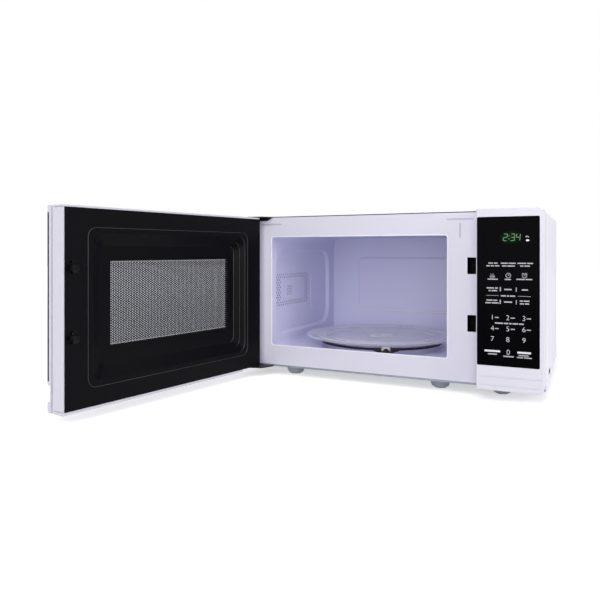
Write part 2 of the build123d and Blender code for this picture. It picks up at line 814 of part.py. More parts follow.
# ================= turntable =================
axis_xy = (open_x, cav_y)
wheel_z = floor_z + run_gap + wheel_d / 2
plate_z = floor_z + 2 * run_gap + wheel_d
motor_top = floor_z - cav_sheet
shaft_top = floor_z + 8.0
with BuildPart() as turntable_motor:
    with BuildSketch(Plane.XY.offset(motor_top)):
        with Locations(axis_xy):
            Circle(motor_d / 2)
    extrude(amount=-motor_h)
    with BuildSketch(Plane.XY.offset(motor_top)):
        with Locations(axis_xy):
            SlotOverall(motor_d + 18, 12)
    extrude(amount=-1)
    with BuildSketch(Plane.XY.offset(motor_top)):
        with Locations(axis_xy):
            Circle(shaft_d / 2)
    extrude(amount=shaft_top - motor_top)
finish(turntable_motor, "turntable_motor")

coupler_z = floor_z + run_gap + 1.0
lobe_top = coupler_z + coupler_h + lobe_h
with BuildPart() as drive_coupler:
    with BuildSketch(Plane.XY.offset(coupler_z)):
        with Locations(axis_xy):
            Circle(coupler_r)
    extrude(amount=coupler_h)
    with BuildSketch(Plane.XY.offset(coupler_z + coupler_h)):
        with Locations(axis_xy):
            with PolarLocations(coupler_r - 4.0, 3):
                Rectangle(8, lobe_w)
            Circle(shaft_d / 2 + 2)
    extrude(amount=lobe_h)
    with BuildSketch(Plane.XY.offset(coupler_z)):
        with Locations(axis_xy):
            Circle(shaft_d / 2 + fit_gap)
    extrude(amount=shaft_top - coupler_z + run_gap, mode=Mode.SUBTRACT)
finish(drive_coupler, "drive_coupler")

well_drop = 0.9
lug_bottom = coupler_z + coupler_h + run_gap
with BuildPart() as glass_turntable:
    with BuildSketch(Plane.XZ) as plate_profile:
        with BuildLine():
            Polyline(
                (0, plate_z),
                (plate_well_r - 2, plate_z),
                (plate_well_r, plate_z),
                (track_out, plate_z),
                (plate_r - 3.5, plate_z + plate_rim_h - 3.6),
                (plate_r, plate_z + plate_rim_h - 2.0),
                (plate_r, plate_z + plate_rim_h),
                (plate_r - 3.0, plate_z + plate_rim_h),
                (track_out - 1.5, plate_z + plate_t),
                (plate_well_r + 2, plate_z + plate_t),
                (plate_well_r - 1, plate_z + plate_t - well_drop),
                (0, plate_z + plate_t - well_drop),
                close=True,
            )
        make_face()
    revolve(axis=Axis.Z)
    with BuildSketch(Plane.XY.offset(lug_bottom)):
        with PolarLocations(coupler_r - 5.0, 3, start_angle=60):
            Rectangle(7, lobe_w)
    extrude(amount=plate_z - lug_bottom + 0.5)
glass_turntable.part.position = (open_x, cav_y, 0)
finish(glass_turntable, "glass_turntable")

first_wheel = -68.0
wheel_n = 3
pocket_t = wheel_d + 2 * wheel_gap
pocket_w = wheel_w + 2 * wheel_gap
ring_top = ring_rise + ring_h


def wheel_plane(k):
    """Upright plane on wheel k's axle, at the turntable's axis; sketch axes along the ring and Z."""
    turn = radians(first_wheel + k * 360 / wheel_n)
    return Plane(
        origin=(open_x, cav_y, wheel_z), x_dir=(-sin(turn), cos(turn), 0), z_dir=(cos(turn), sin(turn), 0)
    )


with BuildPart() as roller_ring:
    with BuildSketch(Plane.XY.offset(wheel_z + ring_rise)):
        with Locations(axis_xy):
            Circle(ring_r + ring_w / 2)
            Circle(ring_r - ring_w / 2, mode=Mode.SUBTRACT)
    extrude(amount=ring_h)
    for k in range(wheel_n):
        with BuildSketch(wheel_plane(k).offset(ring_r - carrier_w / 2)):
            with BuildLine():
                Polyline(
                    (-carrier_len / 2, ring_rise),
                    (-carrier_foot / 2, -carrier_drop),
                    (carrier_foot / 2, -carrier_drop),
                    (carrier_len / 2, ring_rise),
                    (carrier_len / 2, ring_top),
                    (-carrier_len / 2, ring_top),
                    close=True,
                )
            make_face()
        extrude(amount=carrier_w)
        with BuildSketch(wheel_plane(k).offset(ring_r - pocket_w / 2)):
            Rectangle(pocket_t, 2 * wheel_d)
        extrude(amount=pocket_w, mode=Mode.SUBTRACT)
        with BuildSketch(wheel_plane(k).offset(ring_r - carrier_w / 2)):
            with BuildLine():
                Polyline(
                    (pocket_t / 2, cheek_foot - carrier_drop),
                    (pocket_t / 2, ring_top),
                    (cheek_tip / 2, ring_top),
                    close=True,
                )
            make_face()
            mirror(about=Plane.YZ)
        extrude(amount=carrier_w, mode=Mode.SUBTRACT)
        with BuildSketch(wheel_plane(k).offset(ring_r - carrier_w / 2)):
            Circle(axle_d / 2)
        extrude(amount=carrier_w)
finish(roller_ring, "roller_ring")


def roller_wheel(k):
    """Wheel k in its pocket of the ring, on a radial axle."""
    with BuildPart() as wheel:
        with BuildSketch(wheel_plane(k).offset(ring_r - wheel_w / 2)):
            Circle(wheel_d / 2)
            Circle(wheel_bore / 2, mode=Mode.SUBTRACT)
        extrude(amount=wheel_w)
        chamfer(wheel.edges().filter_by(GeomType.CIRCLE).group_by(SortBy.RADIUS)[-1], 0.5)
    return wheel


for index in range(wheel_n):
    finish(roller_wheel(index), f"roller_wheel_{index + 1}")

# ================= control panel =================
fascia_x = fascia_x0 + fascia_w / 2
fascia_z = (front_low + front_high) / 2
fascia_h = front_high - front_low
overlay_h = fascia_h - overlay_low - overlay_top
overlay_z = front_low + overlay_low + overlay_h / 2
overlay_w = fascia_w - overlay_right - fascia_wall * 0.5
overlay_x = fascia_x0 + fascia_wall * 0.5 + overlay_w / 2
display_z = overlay_z + overlay_h / 2 - display_from_top - display_h / 2
with BuildPart() as control_panel:
    with BuildSketch(front(front_y)) as fascia_outline:
        with Locations((fascia_x, fascia_z)):
            Rectangle(fascia_w, fascia_h)
        fillet(fascia_outline.vertices().group_by(Axis.X)[-1], fascia_r)
    extrude(amount=door_t)
    fillet(control_panel.faces().sort_by(Axis.Y)[0].edges(), 1.2)
    with BuildSketch(front(front_y)):
        with Locations((fascia_x, fascia_z)):
            Rectangle(fascia_w - 2 * fascia_wall, fascia_h - 2 * fascia_wall)
    extrude(amount=door_t - fascia_wall - overlay_t, mode=Mode.SUBTRACT)
    with BuildSketch(front(front_face)):
        with Locations((overlay_x, overlay_z)):
            RectangleRounded(overlay_w, overlay_h, overlay_r)
    extrude(amount=-overlay_t, mode=Mode.SUBTRACT)
    with BuildSketch(front(front_face)):
        with Locations((overlay_x, display_z)):
            Rectangle(display_w, display_h)
    extrude(amount=-(overlay_t + fascia_wall), mode=Mode.SUBTRACT)
    with BuildSketch(front(front_face)):
        with Locations(*[(fascia_x, front_low + z) for z in groove_zs]):
            Rectangle(fascia_w - 10, groove_w)
    extrude(amount=-groove_depth, mode=Mode.SUBTRACT)
finish(control_panel, "control_panel")

with BuildPart() as keypad_overlay:
    with BuildSketch(front(front_face + overlay_t)):
        with Locations((overlay_x, overlay_z)):
            RectangleRounded(overlay_w - 0.2, overlay_h - 0.2, overlay_r)
    extrude(amount=overlay_t)
finish(keypad_overlay, "keypad_overlay")

display_back = front_face + overlay_t + fascia_wall
board_y = display_back + 10.0
with BuildPart() as display_module:
    with BuildSketch(front(board_y)):
        with Locations((overlay_x, display_z)):
            Rectangle(display_w + 6, display_h + 6)
    extrude(amount=board_y - display_back)
    with BuildSketch(front(display_back)):
        with Locations((overlay_x, display_z)):
            Rectangle(display_w - 0.4, display_h - 0.4)
    extrude(amount=fascia_wall)
finish(display_module, "display_module")

board_w = fascia_w - 2 * fascia_wall - 8
board_h = 170.0
board_z = front_high - fascia_wall - 4 - board_h / 2
with BuildPart() as control_board:
    with BuildSketch(front(board_y + board_t)):
        with Locations((fascia_x, board_z)):
            Rectangle(board_w, board_h)
    extrude(amount=board_t)
    with BuildSketch(front(board_y + board_t)):
        with Locations((fascia_x + 12, board_z - 58)):
            Rectangle(34, 30)
        with Locations((fascia_x - 16, board_z - 30), (fascia_x - 16, board_z - 8)):
            Rectangle(20, 15)
    extrude(amount=-14)
    for x in (-board_w / 2 + 4, board_w / 2 - 4):
        for z in (-board_h / 2 + 5, board_h / 2 - 5):
            with BuildSketch(front(board_y)):
                with Locations((fascia_x + x, board_z + z)):
                    Circle(2.5)
            extrude(amount=board_y - display_back)
finish(control_board, "control_board")

# ================= door interlock =================
hook_z_mid = (latch_zs[0] + latch_zs[1]) / 2
bracket_w = slot_w + 8.0
bracket_d = hook_reach + 22.0
bracket_over = slot_h / 2 + 8.0
bracket_h = latch_zs[1] - latch_zs[0] + 2 * bracket_over
channel_d = hook_reach + 6.0
with BuildPart() as interlock_bracket:
    with BuildSketch(front(frame_back)):
        with Locations((slot_x, hook_z_mid)):
            Rectangle(bracket_w, bracket_h)
    extrude(amount=-bracket_d)
    with BuildSketch(front(frame_back)):
        with Locations(*[(slot_x, z) for z in latch_zs]):
            Rectangle(slot_w, slot_h)
    extrude(amount=-channel_d, mode=Mode.SUBTRACT)
    with BuildSketch(front(frame_back + 6)):
        with Locations((slot_x, hook_z_mid)):
            Rectangle(bracket_w, latch_zs[1] - latch_zs[0] - slot_h - 8)
    extrude(amount=-bracket_d, mode=Mode.SUBTRACT)
    with BuildSketch(front(frame_back + channel_d)):
        with Locations(*[(slot_x, z) for z in latch_zs]):
            Circle(plunger_d / 2 + fit_gap)
    extrude(amount=-bracket_d, mode=Mode.SUBTRACT)
finish(interlock_bracket, "interlock_bracket")

switch_y = frame_back + bracket_d
with BuildPart() as interlock_switches:
    with BuildSketch(front(switch_y)):
        with Locations(*[(slot_x, z) for z in latch_zs]):
            Rectangle(bracket_w - 8, 28)
            Circle(plunger_d / 2 + 0.1, mode=Mode.SUBTRACT)
    extrude(amount=-plunger_travel - 2)
    with BuildSketch(front(switch_y + plunger_travel + 2)):
        with Locations(*[(slot_x, z) for z in latch_zs]):
            Rectangle(bracket_w - 8, 28)
    extrude(amount=-14)
    with BuildSketch(front(switch_y + plunger_travel + 16)):
        for dz in (-9, 0, 9):
            with Locations(*[(slot_x, z + dz) for z in latch_zs]):
                Rectangle(0.8, 6.3)
    extrude(amount=-7)
finish(interlock_switches, "interlock_switches")

hook_tip_y = front_y - door_clear + hook_reach
plunger_gap = 0.3
with BuildPart() as interlock_plungers:
    with BuildSketch(front(hook_tip_y + plunger_gap)):
        with Locations(*[(slot_x, z) for z in latch_zs]):
            Circle(plunger_d / 2)
    extrude(amount=-(switch_y + 2 - hook_tip_y - plunger_gap))
finish(interlock_plungers, "interlock_plungers")

# ================= hinges =================
hinge_xy = (hinge_x, hinge_y)
leaf_x0 = left_x + sheet + 1.0
leaf_x1 = leaf_x0 + leaf_w
tongue_d = 30.0
flange_t = 0.9
flange_drop = 5.0
low_leaf_out = 10.0
top_leaf_out = 4.0


def hinge_leaf(z, thick, out):
    """Level leaf from the front frame to the hinge line; out is how far its nose passes that line."""
    with BuildPart() as leaf:
        with BuildSketch(Plane.XY.offset(z)):
            with BuildLine():
                Polyline(
                    (hinge_x - leaf_heel, front_y),
                    (leaf_x1, front_y),
                    (hinge_x + leaf_w * 0.6, hinge_y - out / 2),
                    (hinge_x + hinge_d, hinge_y - out),
                    (hinge_x - hinge_d / 2, hinge_y - out),
                    close=True,
                )
            make_face()
            with Locations(hinge_xy):
                Circle(hinge_d / 2 + 2.5)
        extrude(amount=thick)
    return leaf.part


with BuildPart() as upper_hinge:
    add(hinge_leaf(top_leaf_z, top_leaf_t, top_leaf_out))
    with BuildSketch(Plane.XY.offset(top_leaf_z)):
        with Locations(hinge_xy):
            Circle(hinge_d / 2)
    extrude(amount=-(pin_len + top_leaf_gap))
    with BuildSketch(front(front_y)):
        with BuildLine():
            Polyline(
                (hinge_x + hinge_d + 0.5, inner_top),
                (leaf_x1, inner_top),
                (leaf_x1 - leaf_w * 0.25, top_leaf_z - flange_drop),
                (hinge_x + hinge_d + 0.5, top_leaf_z - flange_drop),
                close=True,
            )
        make_face()
    extrude(amount=flange_t)
finish(upper_hinge, "upper_hinge")

with BuildPart() as lower_hinge:
    add(hinge_leaf(low_leaf_z, leaf_t, low_leaf_out))
    with BuildSketch(Plane.XY.offset(low_leaf_z + leaf_t)):
        with Locations(hinge_xy):
            Circle(hinge_d / 2)
    extrude(amount=pin_len + leaf_gap)
    with BuildSketch(Plane.XY.offset(low_leaf_z)):
        with Locations((leaf_x0 + leaf_w / 2, front_y + tongue_d / 2)):
            Rectangle(leaf_w, tongue_d)
    extrude(amount=base_z - low_leaf_z)
finish(lower_hinge, "lower_hinge")

# ================= door =================
door_w = door_x1 - door_x0
door_mid = (door_x0 + door_x1) / 2
door_z = (door_low + door_high) / 2
door_h = door_high - door_low
cover_back = door_back
shell_back = door_back - cover_t
pocket_y = door_front + glass_t + bezel_t
groove_x0 = open_x0 - hinge_x - 4.0
groove_x1 = open_x1 - hinge_x + cover_lap_x
groove_z0 = open_bottom - cover_lap_low
groove_z1 = open_top + cover_lap_top
groove_w_all = groove_x1 - groove_x0
groove_h_all = groove_z1 - groove_z0
groove_c = ((groove_x0 + groove_x1) / 2, (groove_z0 + groove_z1) / 2)
dish_x0 = groove_x0 + dish_inset
dish_x1 = groove_x1 - dish_inset
dish_z0 = groove_z0 + dish_inset
dish_z1 = groove_z1 - dish_inset
dish_floor = cover_back - dish_depth
win_x0 = dish_x0 + dish_floor_left + window_left
win_z0 = dish_z0 + dish_floor_side + window_low
win_c = (win_x0 + window_w / 2, win_z0 + window_h / 2)
latch_wall = 2.0
latch_room = latch_bar_w + 4.0
latch_pocket_x0 = latch_x - latch_room / 2
choke_x0 = hinge_d / 2 + 4.5
choke_x1 = latch_pocket_x0 - latch_wall
choke_z0 = door_low + 9.0
choke_z1 = door_high - 4.7
choke_c = ((choke_x0 + choke_x1) / 2, (choke_z0 + choke_z1) / 2)
choke_w = choke_x1 - choke_x0
choke_h = choke_z1 - choke_z0
latch_bar_z0 = latch_zs[0] - latch_bar_over
latch_bar_z1 = latch_zs[1] + latch_bar_over
latch_bar_y = shell_back - 2.0
notch_z = low_leaf_z + leaf_t + leaf_gap
notch_w = leaf_x1 - hinge_x - door_x0 + 3.0
notch_y = door_front + door_wall
cover_low = notch_z
cover_top = door_high - cover_top_inset

with BuildPart() as door_surround:
    with BuildSketch(door_plan(door_low)) as door_section:
        with Locations((door_mid, (door_front + shell_back) / 2)):
            Rectangle(door_w, shell_back - door_front)
        fillet(door_section.vertices().sort_by(Axis.X)[:2].sort_by(Axis.Y)[-1], heel_r)
    extrude(amount=door_h)
    with BuildSketch(door_face(door_front)):
        with Locations((door_mid, overlay_z)):
            Rectangle(door_w, overlay_h)
    extrude(amount=-glass_t, mode=Mode.SUBTRACT)
    with BuildSketch(door_face(shell_back)):
        with Locations(choke_c):
            Rectangle(choke_w, choke_h)
        with Locations((latch_x, (latch_bar_z0 + latch_bar_z1 + spring_len) / 2)):
            Rectangle(latch_room, latch_bar_z1 - latch_bar_z0 + spring_len)
    extrude(amount=shell_back - pocket_y, mode=Mode.SUBTRACT)
    with BuildSketch(door_face(pocket_y)):
        with Locations(win_c):
            RectangleRounded(window_w + 2 * bezel_lap, window_h + 2 * screen_lap, 5)
    extrude(amount=bezel_t, mode=Mode.SUBTRACT)
    with BuildSketch(door_face(pocket_y + edge_groove_w)):
        with Locations((door_x1, door_z)):
            Rectangle(2 * edge_groove_depth, door_h)
    extrude(amount=edge_groove_w, mode=Mode.SUBTRACT)
    with BuildSketch(door_side(door_x1)):
        with Locations(*[((pocket_y + shell_back) / 2, z) for z in (cover_low, cover_top)]):
            Rectangle(shell_back - pocket_y, parting_w)
    extrude(amount=-parting_depth, mode=Mode.SUBTRACT)
    with BuildSketch(door_face(door_front)):
        with Locations((door_x1 - grip_w / 2, door_low + grip_low + grip_h / 2)):
            Rectangle(grip_w, grip_h)
    extrude(amount=-grip_depth, mode=Mode.SUBTRACT)
    with BuildSketch(door_face(door_front)):
        with Locations(*[(door_mid, front_low + z) for z in groove_zs]):
            Rectangle(door_w - 10, groove_w)
    extrude(amount=-groove_depth, mode=Mode.SUBTRACT)
    with BuildSketch(door_plan(notch_z)):
        with Locations((door_x0 + notch_w / 2 - 1, (notch_y + door_back) / 2 + 1)):
            Rectangle(notch_w + 2, door_back - notch_y + 2)
    extrude(amount=-(notch_z - door_low + 1), mode=Mode.SUBTRACT)
    with BuildSketch(door_plan(notch_z)):
        Circle(hinge_d / 2 + fit_gap)
    extrude(amount=pin_len + 1, mode=Mode.SUBTRACT)
    with BuildSketch(door_plan(door_high)):
        Circle(hinge_d / 2 + fit_gap)
    extrude(amount=-(pin_len + 1), mode=Mode.SUBTRACT)
finish(door_surround, "door_surround")

with BuildPart() as door_front_glass:
    with BuildSketch(door_face(door_front)):
        with Locations((door_mid, overlay_z)):
            Rectangle(door_w, overlay_h)
    extrude(amount=-glass_t)
finish(door_front_glass, "door_front_glass")

plate_y = dish_floor - cover_t - screen_t - choke_sheet
fin_y = shell_back - 2.0
step_w = dish_x1 - dish_x0 - 2
step_h = dish_z1 - dish_z0 - 2
step_c = ((dish_x0 + dish_x1) / 2, (dish_z0 + dish_z1) / 2)
inner_w = choke_w - 2 * choke_gap
inner_h = choke_h - 2 * choke_gap
comb_nx = int(inner_w / choke_pitch)
comb_nz = int(inner_h / choke_pitch)
with BuildPart() as door_choke_frame:
    with BuildSketch(door_face(pocket_y + choke_sheet)):
        with Locations(choke_c):
            Rectangle(inner_w, inner_h)
        with Locations(step_c):
            RectangleRounded(step_w - 2 * choke_sheet, step_h - 2 * choke_sheet, dish_r, mode=Mode.SUBTRACT)
    extrude(amount=choke_sheet)
    with BuildSketch(door_face(plate_y + choke_sheet)):
        with Locations(step_c):
            RectangleRounded(step_w, step_h, dish_r + choke_sheet)
            RectangleRounded(step_w - 2 * choke_sheet, step_h - 2 * choke_sheet, dish_r, mode=Mode.SUBTRACT)
    extrude(amount=plate_y + choke_sheet - pocket_y)
    with BuildSketch(door_face(plate_y + choke_sheet)):
        with Locations(step_c):
            RectangleRounded(step_w, step_h, dish_r + choke_sheet)
        with Locations(win_c):
            Rectangle(window_w, window_h, mode=Mode.SUBTRACT)
    extrude(amount=choke_sheet)
    with BuildSketch(door_face(fin_y)):
        with Locations(choke_c):
            Rectangle(inner_w, inner_h)
            Rectangle(inner_w - 2 * choke_sheet, inner_h - 2 * choke_sheet, mode=Mode.SUBTRACT)
    extrude(amount=fin_y - pocket_y)
    with BuildSketch(door_face(fin_y)):
        with Locations(choke_c):
            Rectangle(inner_w, inner_h)
            Rectangle(inner_w - 2 * choke_lip, inner_h - 2 * choke_lip, mode=Mode.SUBTRACT)
        with Locations(choke_c):
            with GridLocations(choke_pitch, 0, comb_nx, 1):
                Rectangle(choke_slot_w, inner_h - 2 * choke_sheet, mode=Mode.SUBTRACT)
            with GridLocations(0, choke_pitch, 1, comb_nz):
                Rectangle(inner_w - 2 * choke_sheet, choke_slot_w, mode=Mode.SUBTRACT)
    extrude(amount=choke_sheet)
finish(door_choke_frame, "door_choke_frame")

with BuildPart() as door_screen:
    with BuildSketch(door_face(plate_y + choke_sheet + screen_t)):
        with Locations(win_c):
            Rectangle(window_w + 2 * screen_lap, window_h + 2 * screen_lap)
    extrude(amount=screen_t)
finish(door_screen, "door_screen")

dish_w = dish_x1 - dish_x0
dish_h = dish_z1 - dish_z0
floor_w = dish_w - dish_floor_left - dish_floor_side
floor_h = dish_h - 2 * dish_floor_side
floor_c = ((dish_x0 + dish_floor_left + dish_x1 - dish_floor_side) / 2, step_c[1])
with BuildPart() as door_inner_cover:
    with BuildSketch(door_face(cover_back)):
        with Locations(((door_x0 + heel_r + door_x1 - cover_inset) / 2, (cover_low + cover_top) / 2)):
            Rectangle(door_w - heel_r - cover_inset, cover_top - cover_low)
    extrude(amount=cover_t)
    with BuildSketch(door_face(shell_back)):
        with Locations(step_c):
            RectangleRounded(dish_w - 4, dish_h - 4, dish_r)
    with BuildSketch(door_face(dish_floor - cover_t)):
        with Locations(floor_c):
            RectangleRounded(floor_w, floor_h, dish_r * 0.7)
    loft()
    with BuildSketch(door_face(cover_back)):
        with Locations(step_c):
            RectangleRounded(dish_w, dish_h, dish_r)
    with BuildSketch(door_face(dish_floor)):
        with Locations(floor_c):
            RectangleRounded(floor_w, floor_h, dish_r * 0.7)
    loft(mode=Mode.SUBTRACT)
    with BuildSketch(door_face(dish_floor)):
        with Locations(win_c):
            Rectangle(window_w, window_h)
    extrude(amount=cover_t, mode=Mode.SUBTRACT)
    with BuildSketch(door_face(cover_back)):
        with Locations(groove_c):
            RectangleRounded(groove_w_all, groove_h_all, cover_r)
            RectangleRounded(
                groove_w_all - 2 * cover_groove_w,
                groove_h_all - 2 * cover_groove_w,
                cover_r - cover_groove_w,
                mode=Mode.SUBTRACT,
            )
    extrude(amount=cover_groove_depth, mode=Mode.SUBTRACT)
    with BuildSketch(door_face(cover_back)):
        with Locations(*[(latch_x, z + latch_travel / 2) for z in latch_zs]):
            Rectangle(hook_t + 2, hook_h + latch_travel + 2)
    extrude(amount=cover_t, mode=Mode.SUBTRACT)
finish(door_inner_cover, "door_inner_cover")

with BuildPart() as door_latch:
    with BuildSketch(door_face(latch_bar_y)):
        with Locations((latch_x, (latch_bar_z0 + latch_bar_z1) / 2)):
            Rectangle(latch_bar_w, latch_bar_z1 - latch_bar_z0)
    extrude(amount=latch_bar_t)
    for z in latch_zs:
        with BuildSketch(door_side(latch_x + hook_t / 2)):
            with BuildLine():
                Polyline(
                    (latch_bar_y - 1, z - hook_h / 2 + hook_nose),
                    (cover_back + hook_reach - 6, z - hook_h / 2 + hook_nose),
                    (cover_back + hook_reach - 6, z - hook_h / 2),
                    (cover_back + hook_reach - 3.5, z - hook_h / 2),
                    (cover_back + hook_reach, z),
                    (cover_back + hook_reach, z + hook_h / 2 - 1),
                    (cover_back + hook_reach - 1, z + hook_h / 2),
                    (latch_bar_y - 1, z + hook_h / 2),
                    close=True,
                )
            make_face()
        extrude(amount=-hook_t)
finish(door_latch, "door_latch")

spring_turns = 4
with BuildPart() as latch_spring:
    with BuildLine():
        Helix(
            pitch=(spring_len - spring_wire) / spring_turns,
            height=spring_len - spring_wire,
            radius=spring_r,
            center=(0, 0, 0),
        )
    with BuildSketch(Plane.XZ):
        with Locations((spring_r, 0)):
            Rectangle(spring_wire, spring_wire)
    sweep(is_frenet=True)
spring_at = Vector(hinge_x, hinge_y, 0) + door_dir * latch_x + inward * (latch_bar_y - latch_bar_t / 2)
latch_spring.part.position = (spring_at.X, spring_at.Y, latch_bar_z1 + spring_wire / 2)
finish(latch_spring, "latch_spring")
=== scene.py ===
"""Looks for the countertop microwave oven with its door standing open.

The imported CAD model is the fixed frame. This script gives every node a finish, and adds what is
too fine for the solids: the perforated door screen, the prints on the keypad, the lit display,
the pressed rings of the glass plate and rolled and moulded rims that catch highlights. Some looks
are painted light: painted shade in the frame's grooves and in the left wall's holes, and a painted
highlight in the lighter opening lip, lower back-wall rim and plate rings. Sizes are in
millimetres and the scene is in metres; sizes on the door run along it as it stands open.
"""
import json
from math import cos, pi, radians, sin, sqrt

import bmesh
import bpy
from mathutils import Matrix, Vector


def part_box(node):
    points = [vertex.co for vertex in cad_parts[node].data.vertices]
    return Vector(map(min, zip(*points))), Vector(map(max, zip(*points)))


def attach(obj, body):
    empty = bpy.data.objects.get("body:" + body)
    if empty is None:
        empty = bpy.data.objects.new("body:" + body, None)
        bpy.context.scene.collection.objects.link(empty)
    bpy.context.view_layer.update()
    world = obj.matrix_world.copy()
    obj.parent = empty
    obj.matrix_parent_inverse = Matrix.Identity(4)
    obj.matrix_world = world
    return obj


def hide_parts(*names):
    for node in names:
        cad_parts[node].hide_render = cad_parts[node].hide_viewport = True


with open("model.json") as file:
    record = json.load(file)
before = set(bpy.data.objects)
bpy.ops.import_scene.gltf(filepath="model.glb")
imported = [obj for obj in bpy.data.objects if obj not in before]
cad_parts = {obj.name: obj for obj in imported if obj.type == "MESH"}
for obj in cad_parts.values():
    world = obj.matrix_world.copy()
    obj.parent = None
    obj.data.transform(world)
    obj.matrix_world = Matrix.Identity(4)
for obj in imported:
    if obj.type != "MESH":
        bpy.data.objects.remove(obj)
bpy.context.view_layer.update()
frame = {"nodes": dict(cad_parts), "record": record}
nodes = frame["nodes"]
MM = 0.001


# ---------------------------------------------------------------- finishes
def srgb(r, g, b):
    """A display colour, 0 to 255, as the linear colour that shaders take."""
    linear = [c / 255 / 12.92 if c <= 10 else ((c / 255 + 0.055) / 1.055) ** 2.4 for c in (r, g, b)]
    return (*linear, 1.0)


def shade(colour, k):
    """The same colour k times as bright."""
    return (*[min(1.0, c * k) for c in colour[:3]], 1.0)


MIX_A, MIX_B, MIX_RESULT = 6, 7, 2  # the colour sockets of a Mix node


class Finish:
    """A Principled material on object coordinates, built up one feature at a time."""

    def __init__(self, name, colour, roughness, **sockets):
        self.name = name
        self.material = bpy.data.materials.new(name)
        self.material.use_nodes = True
        self.tree = self.material.node_tree
        self.shader = self.tree.nodes["Principled BSDF"]
        self.colour = colour
        self.roughness = roughness
        self.height = None
        self.set("Base Color", colour)
        self.set("Roughness", roughness)
        for socket, value in sockets.items():
            self.set(socket.replace("_", " "), value)
        self.place = self.add("ShaderNodeTexCoord").outputs["Object"]

    def set(self, socket, value):
        self.shader.inputs[socket].default_value = value

    def add(self, kind, **values):
        node = self.tree.nodes.new(kind)
        for key, value in values.items():
            setattr(node, key, value)
        return node

    def link(self, source, target):
        self.tree.links.new(source, target)

    def stretched(self, scale):
        """Object coordinates stretched by a scale per axis."""
        mapping = self.add("ShaderNodeMapping")
        mapping.inputs["Scale"].default_value = scale
        self.link(self.place, mapping.inputs["Vector"])
        return mapping.outputs["Vector"]

    def noise(self, scale, detail, vector=None):
        node = self.add("ShaderNodeTexNoise")
        node.inputs["Scale"].default_value = scale
        node.inputs["Detail"].default_value = detail
        self.link(vector or self.place, node.inputs["Vector"])
        return node.outputs["Fac"]

    def cells(self, scale, feature="F1"):
        node = self.add("ShaderNodeTexVoronoi", feature=feature)
        node.inputs["Scale"].default_value = scale
        self.link(self.place, node.inputs["Vector"])
        return node

    def spread(self, source, low, high, start=0.3, end=0.7):
        """source, from start to end, becomes low to high."""
        node = self.add("ShaderNodeMapRange")
        limits = {"From Min": start, "From Max": end, "To Min": low, "To Max": high}
        for socket, value in limits.items():
            node.inputs[socket].default_value = value
        self.link(source, node.inputs["Value"])
        return node.outputs["Result"]

    def ramp(self, source, stops):
        """source as a colour, from (position, colour) stops."""
        node = self.add("ShaderNodeValToRGB")
        elements = node.color_ramp.elements
        while len(elements) < len(stops):
            elements.new(0.5)
        for element, (position, colour) in zip(elements, stops):
            element.position = position
            element.color = colour
        self.link(source, node.inputs["Fac"])
        return node.outputs["Color"]

    def mottle(self, scale, low, high, detail=3.0, vector=None):
        """Colour drifts between low and high times its brightness."""
        source = self.noise(scale, detail, vector)
        stops = [(0.2, shade(self.colour, low)), (0.8, shade(self.colour, high))]
        self.link(self.ramp(source, stops), self.shader.inputs["Base Color"])

    def vary(self, scale, amount, detail=3.0, vector=None):
        """Roughness drifts by amount either way."""
        source = self.noise(scale, detail, vector)
        span = self.spread(source, self.roughness - amount, self.roughness + amount)
        self.link(span, self.shader.inputs["Roughness"])

    def bump(self, source, depth):
        """source raises the surface by depth metres; bumps add up."""
        node = self.add("ShaderNodeBump")
        node.inputs["Distance"].default_value = depth
        self.link(source, node.inputs["Height"])
        if self.height:
            self.link(self.height, node.inputs["Normal"])
        self.height = node.outputs["Normal"]
        self.link(self.height, self.shader.inputs["Normal"])

    def past(self, axis, side, limit, k):
        """On one side of a limit in metres along an axis, the colour is k times as bright."""
        split = self.add("ShaderNodeSeparateXYZ")
        self.link(self.place, split.inputs["Vector"])
        test = self.add("ShaderNodeMath", operation=side)
        self.link(split.outputs[axis], test.inputs[0])
        test.inputs[1].default_value = limit
        mix = self.add("ShaderNodeMix", data_type="RGBA")
        base = self.shader.inputs["Base Color"]
        self.link(test.outputs["Value"], mix.inputs["Factor"])
        self.link(base.links[0].from_socket, mix.inputs[MIX_A])
        mix.inputs[MIX_B].default_value = shade(self.colour, k)
        self.link(mix.outputs[MIX_RESULT], base)

    def grain(self, scale, depth, detail, vector=None):
        """Fine relief from noise."""
        self.bump(self.noise(scale, detail, vector), depth)


def powder_coat(name, colour, roughness=0.36, peel=0.00006, specular=0.5):
    """Sprayed paint on sheet steel: faint orange peel, slow drift of gloss and colour."""
    f = Finish(name, colour, roughness, Specular_IOR_Level=specular)
    f.mottle(9.0, 0.985, 1.0, detail=1.0)
    f.vary(14.0, 0.02, detail=1.0)
    f.grain(420.0, peel, 3.0)
    f.grain(60.0, peel * 0.8, 2.0)
    return f


def moulded(name, colour, roughness, texture=0.00003, scale=900.0, specular=0.5):
    """Moulded plastic: fine spark texture, slight flow marks and gloss drift."""
    f = Finish(name, colour, roughness, Specular_IOR_Level=specular)
    f.mottle(22.0, 0.965, 1.0)
    f.vary(35.0, 0.05)
    f.grain(scale, texture, 2.0)
    f.grain(25.0, 0.00008, 1.0)
    return f


def metal(name, colour, roughness, stretch=(1.0, 1.0, 1.0)):
    """Bare metal with a drawn or rolled grain along one axis."""
    f = Finish(name, colour, roughness, Metallic=1.0)
    lay = f.stretched(stretch)
    f.mottle(200.0, 0.86, 1.0, 4.0, lay)
    f.vary(340.0, 0.08, 3.0, lay)
    f.grain(800.0, 0.00002, 2.0, lay)
    return f


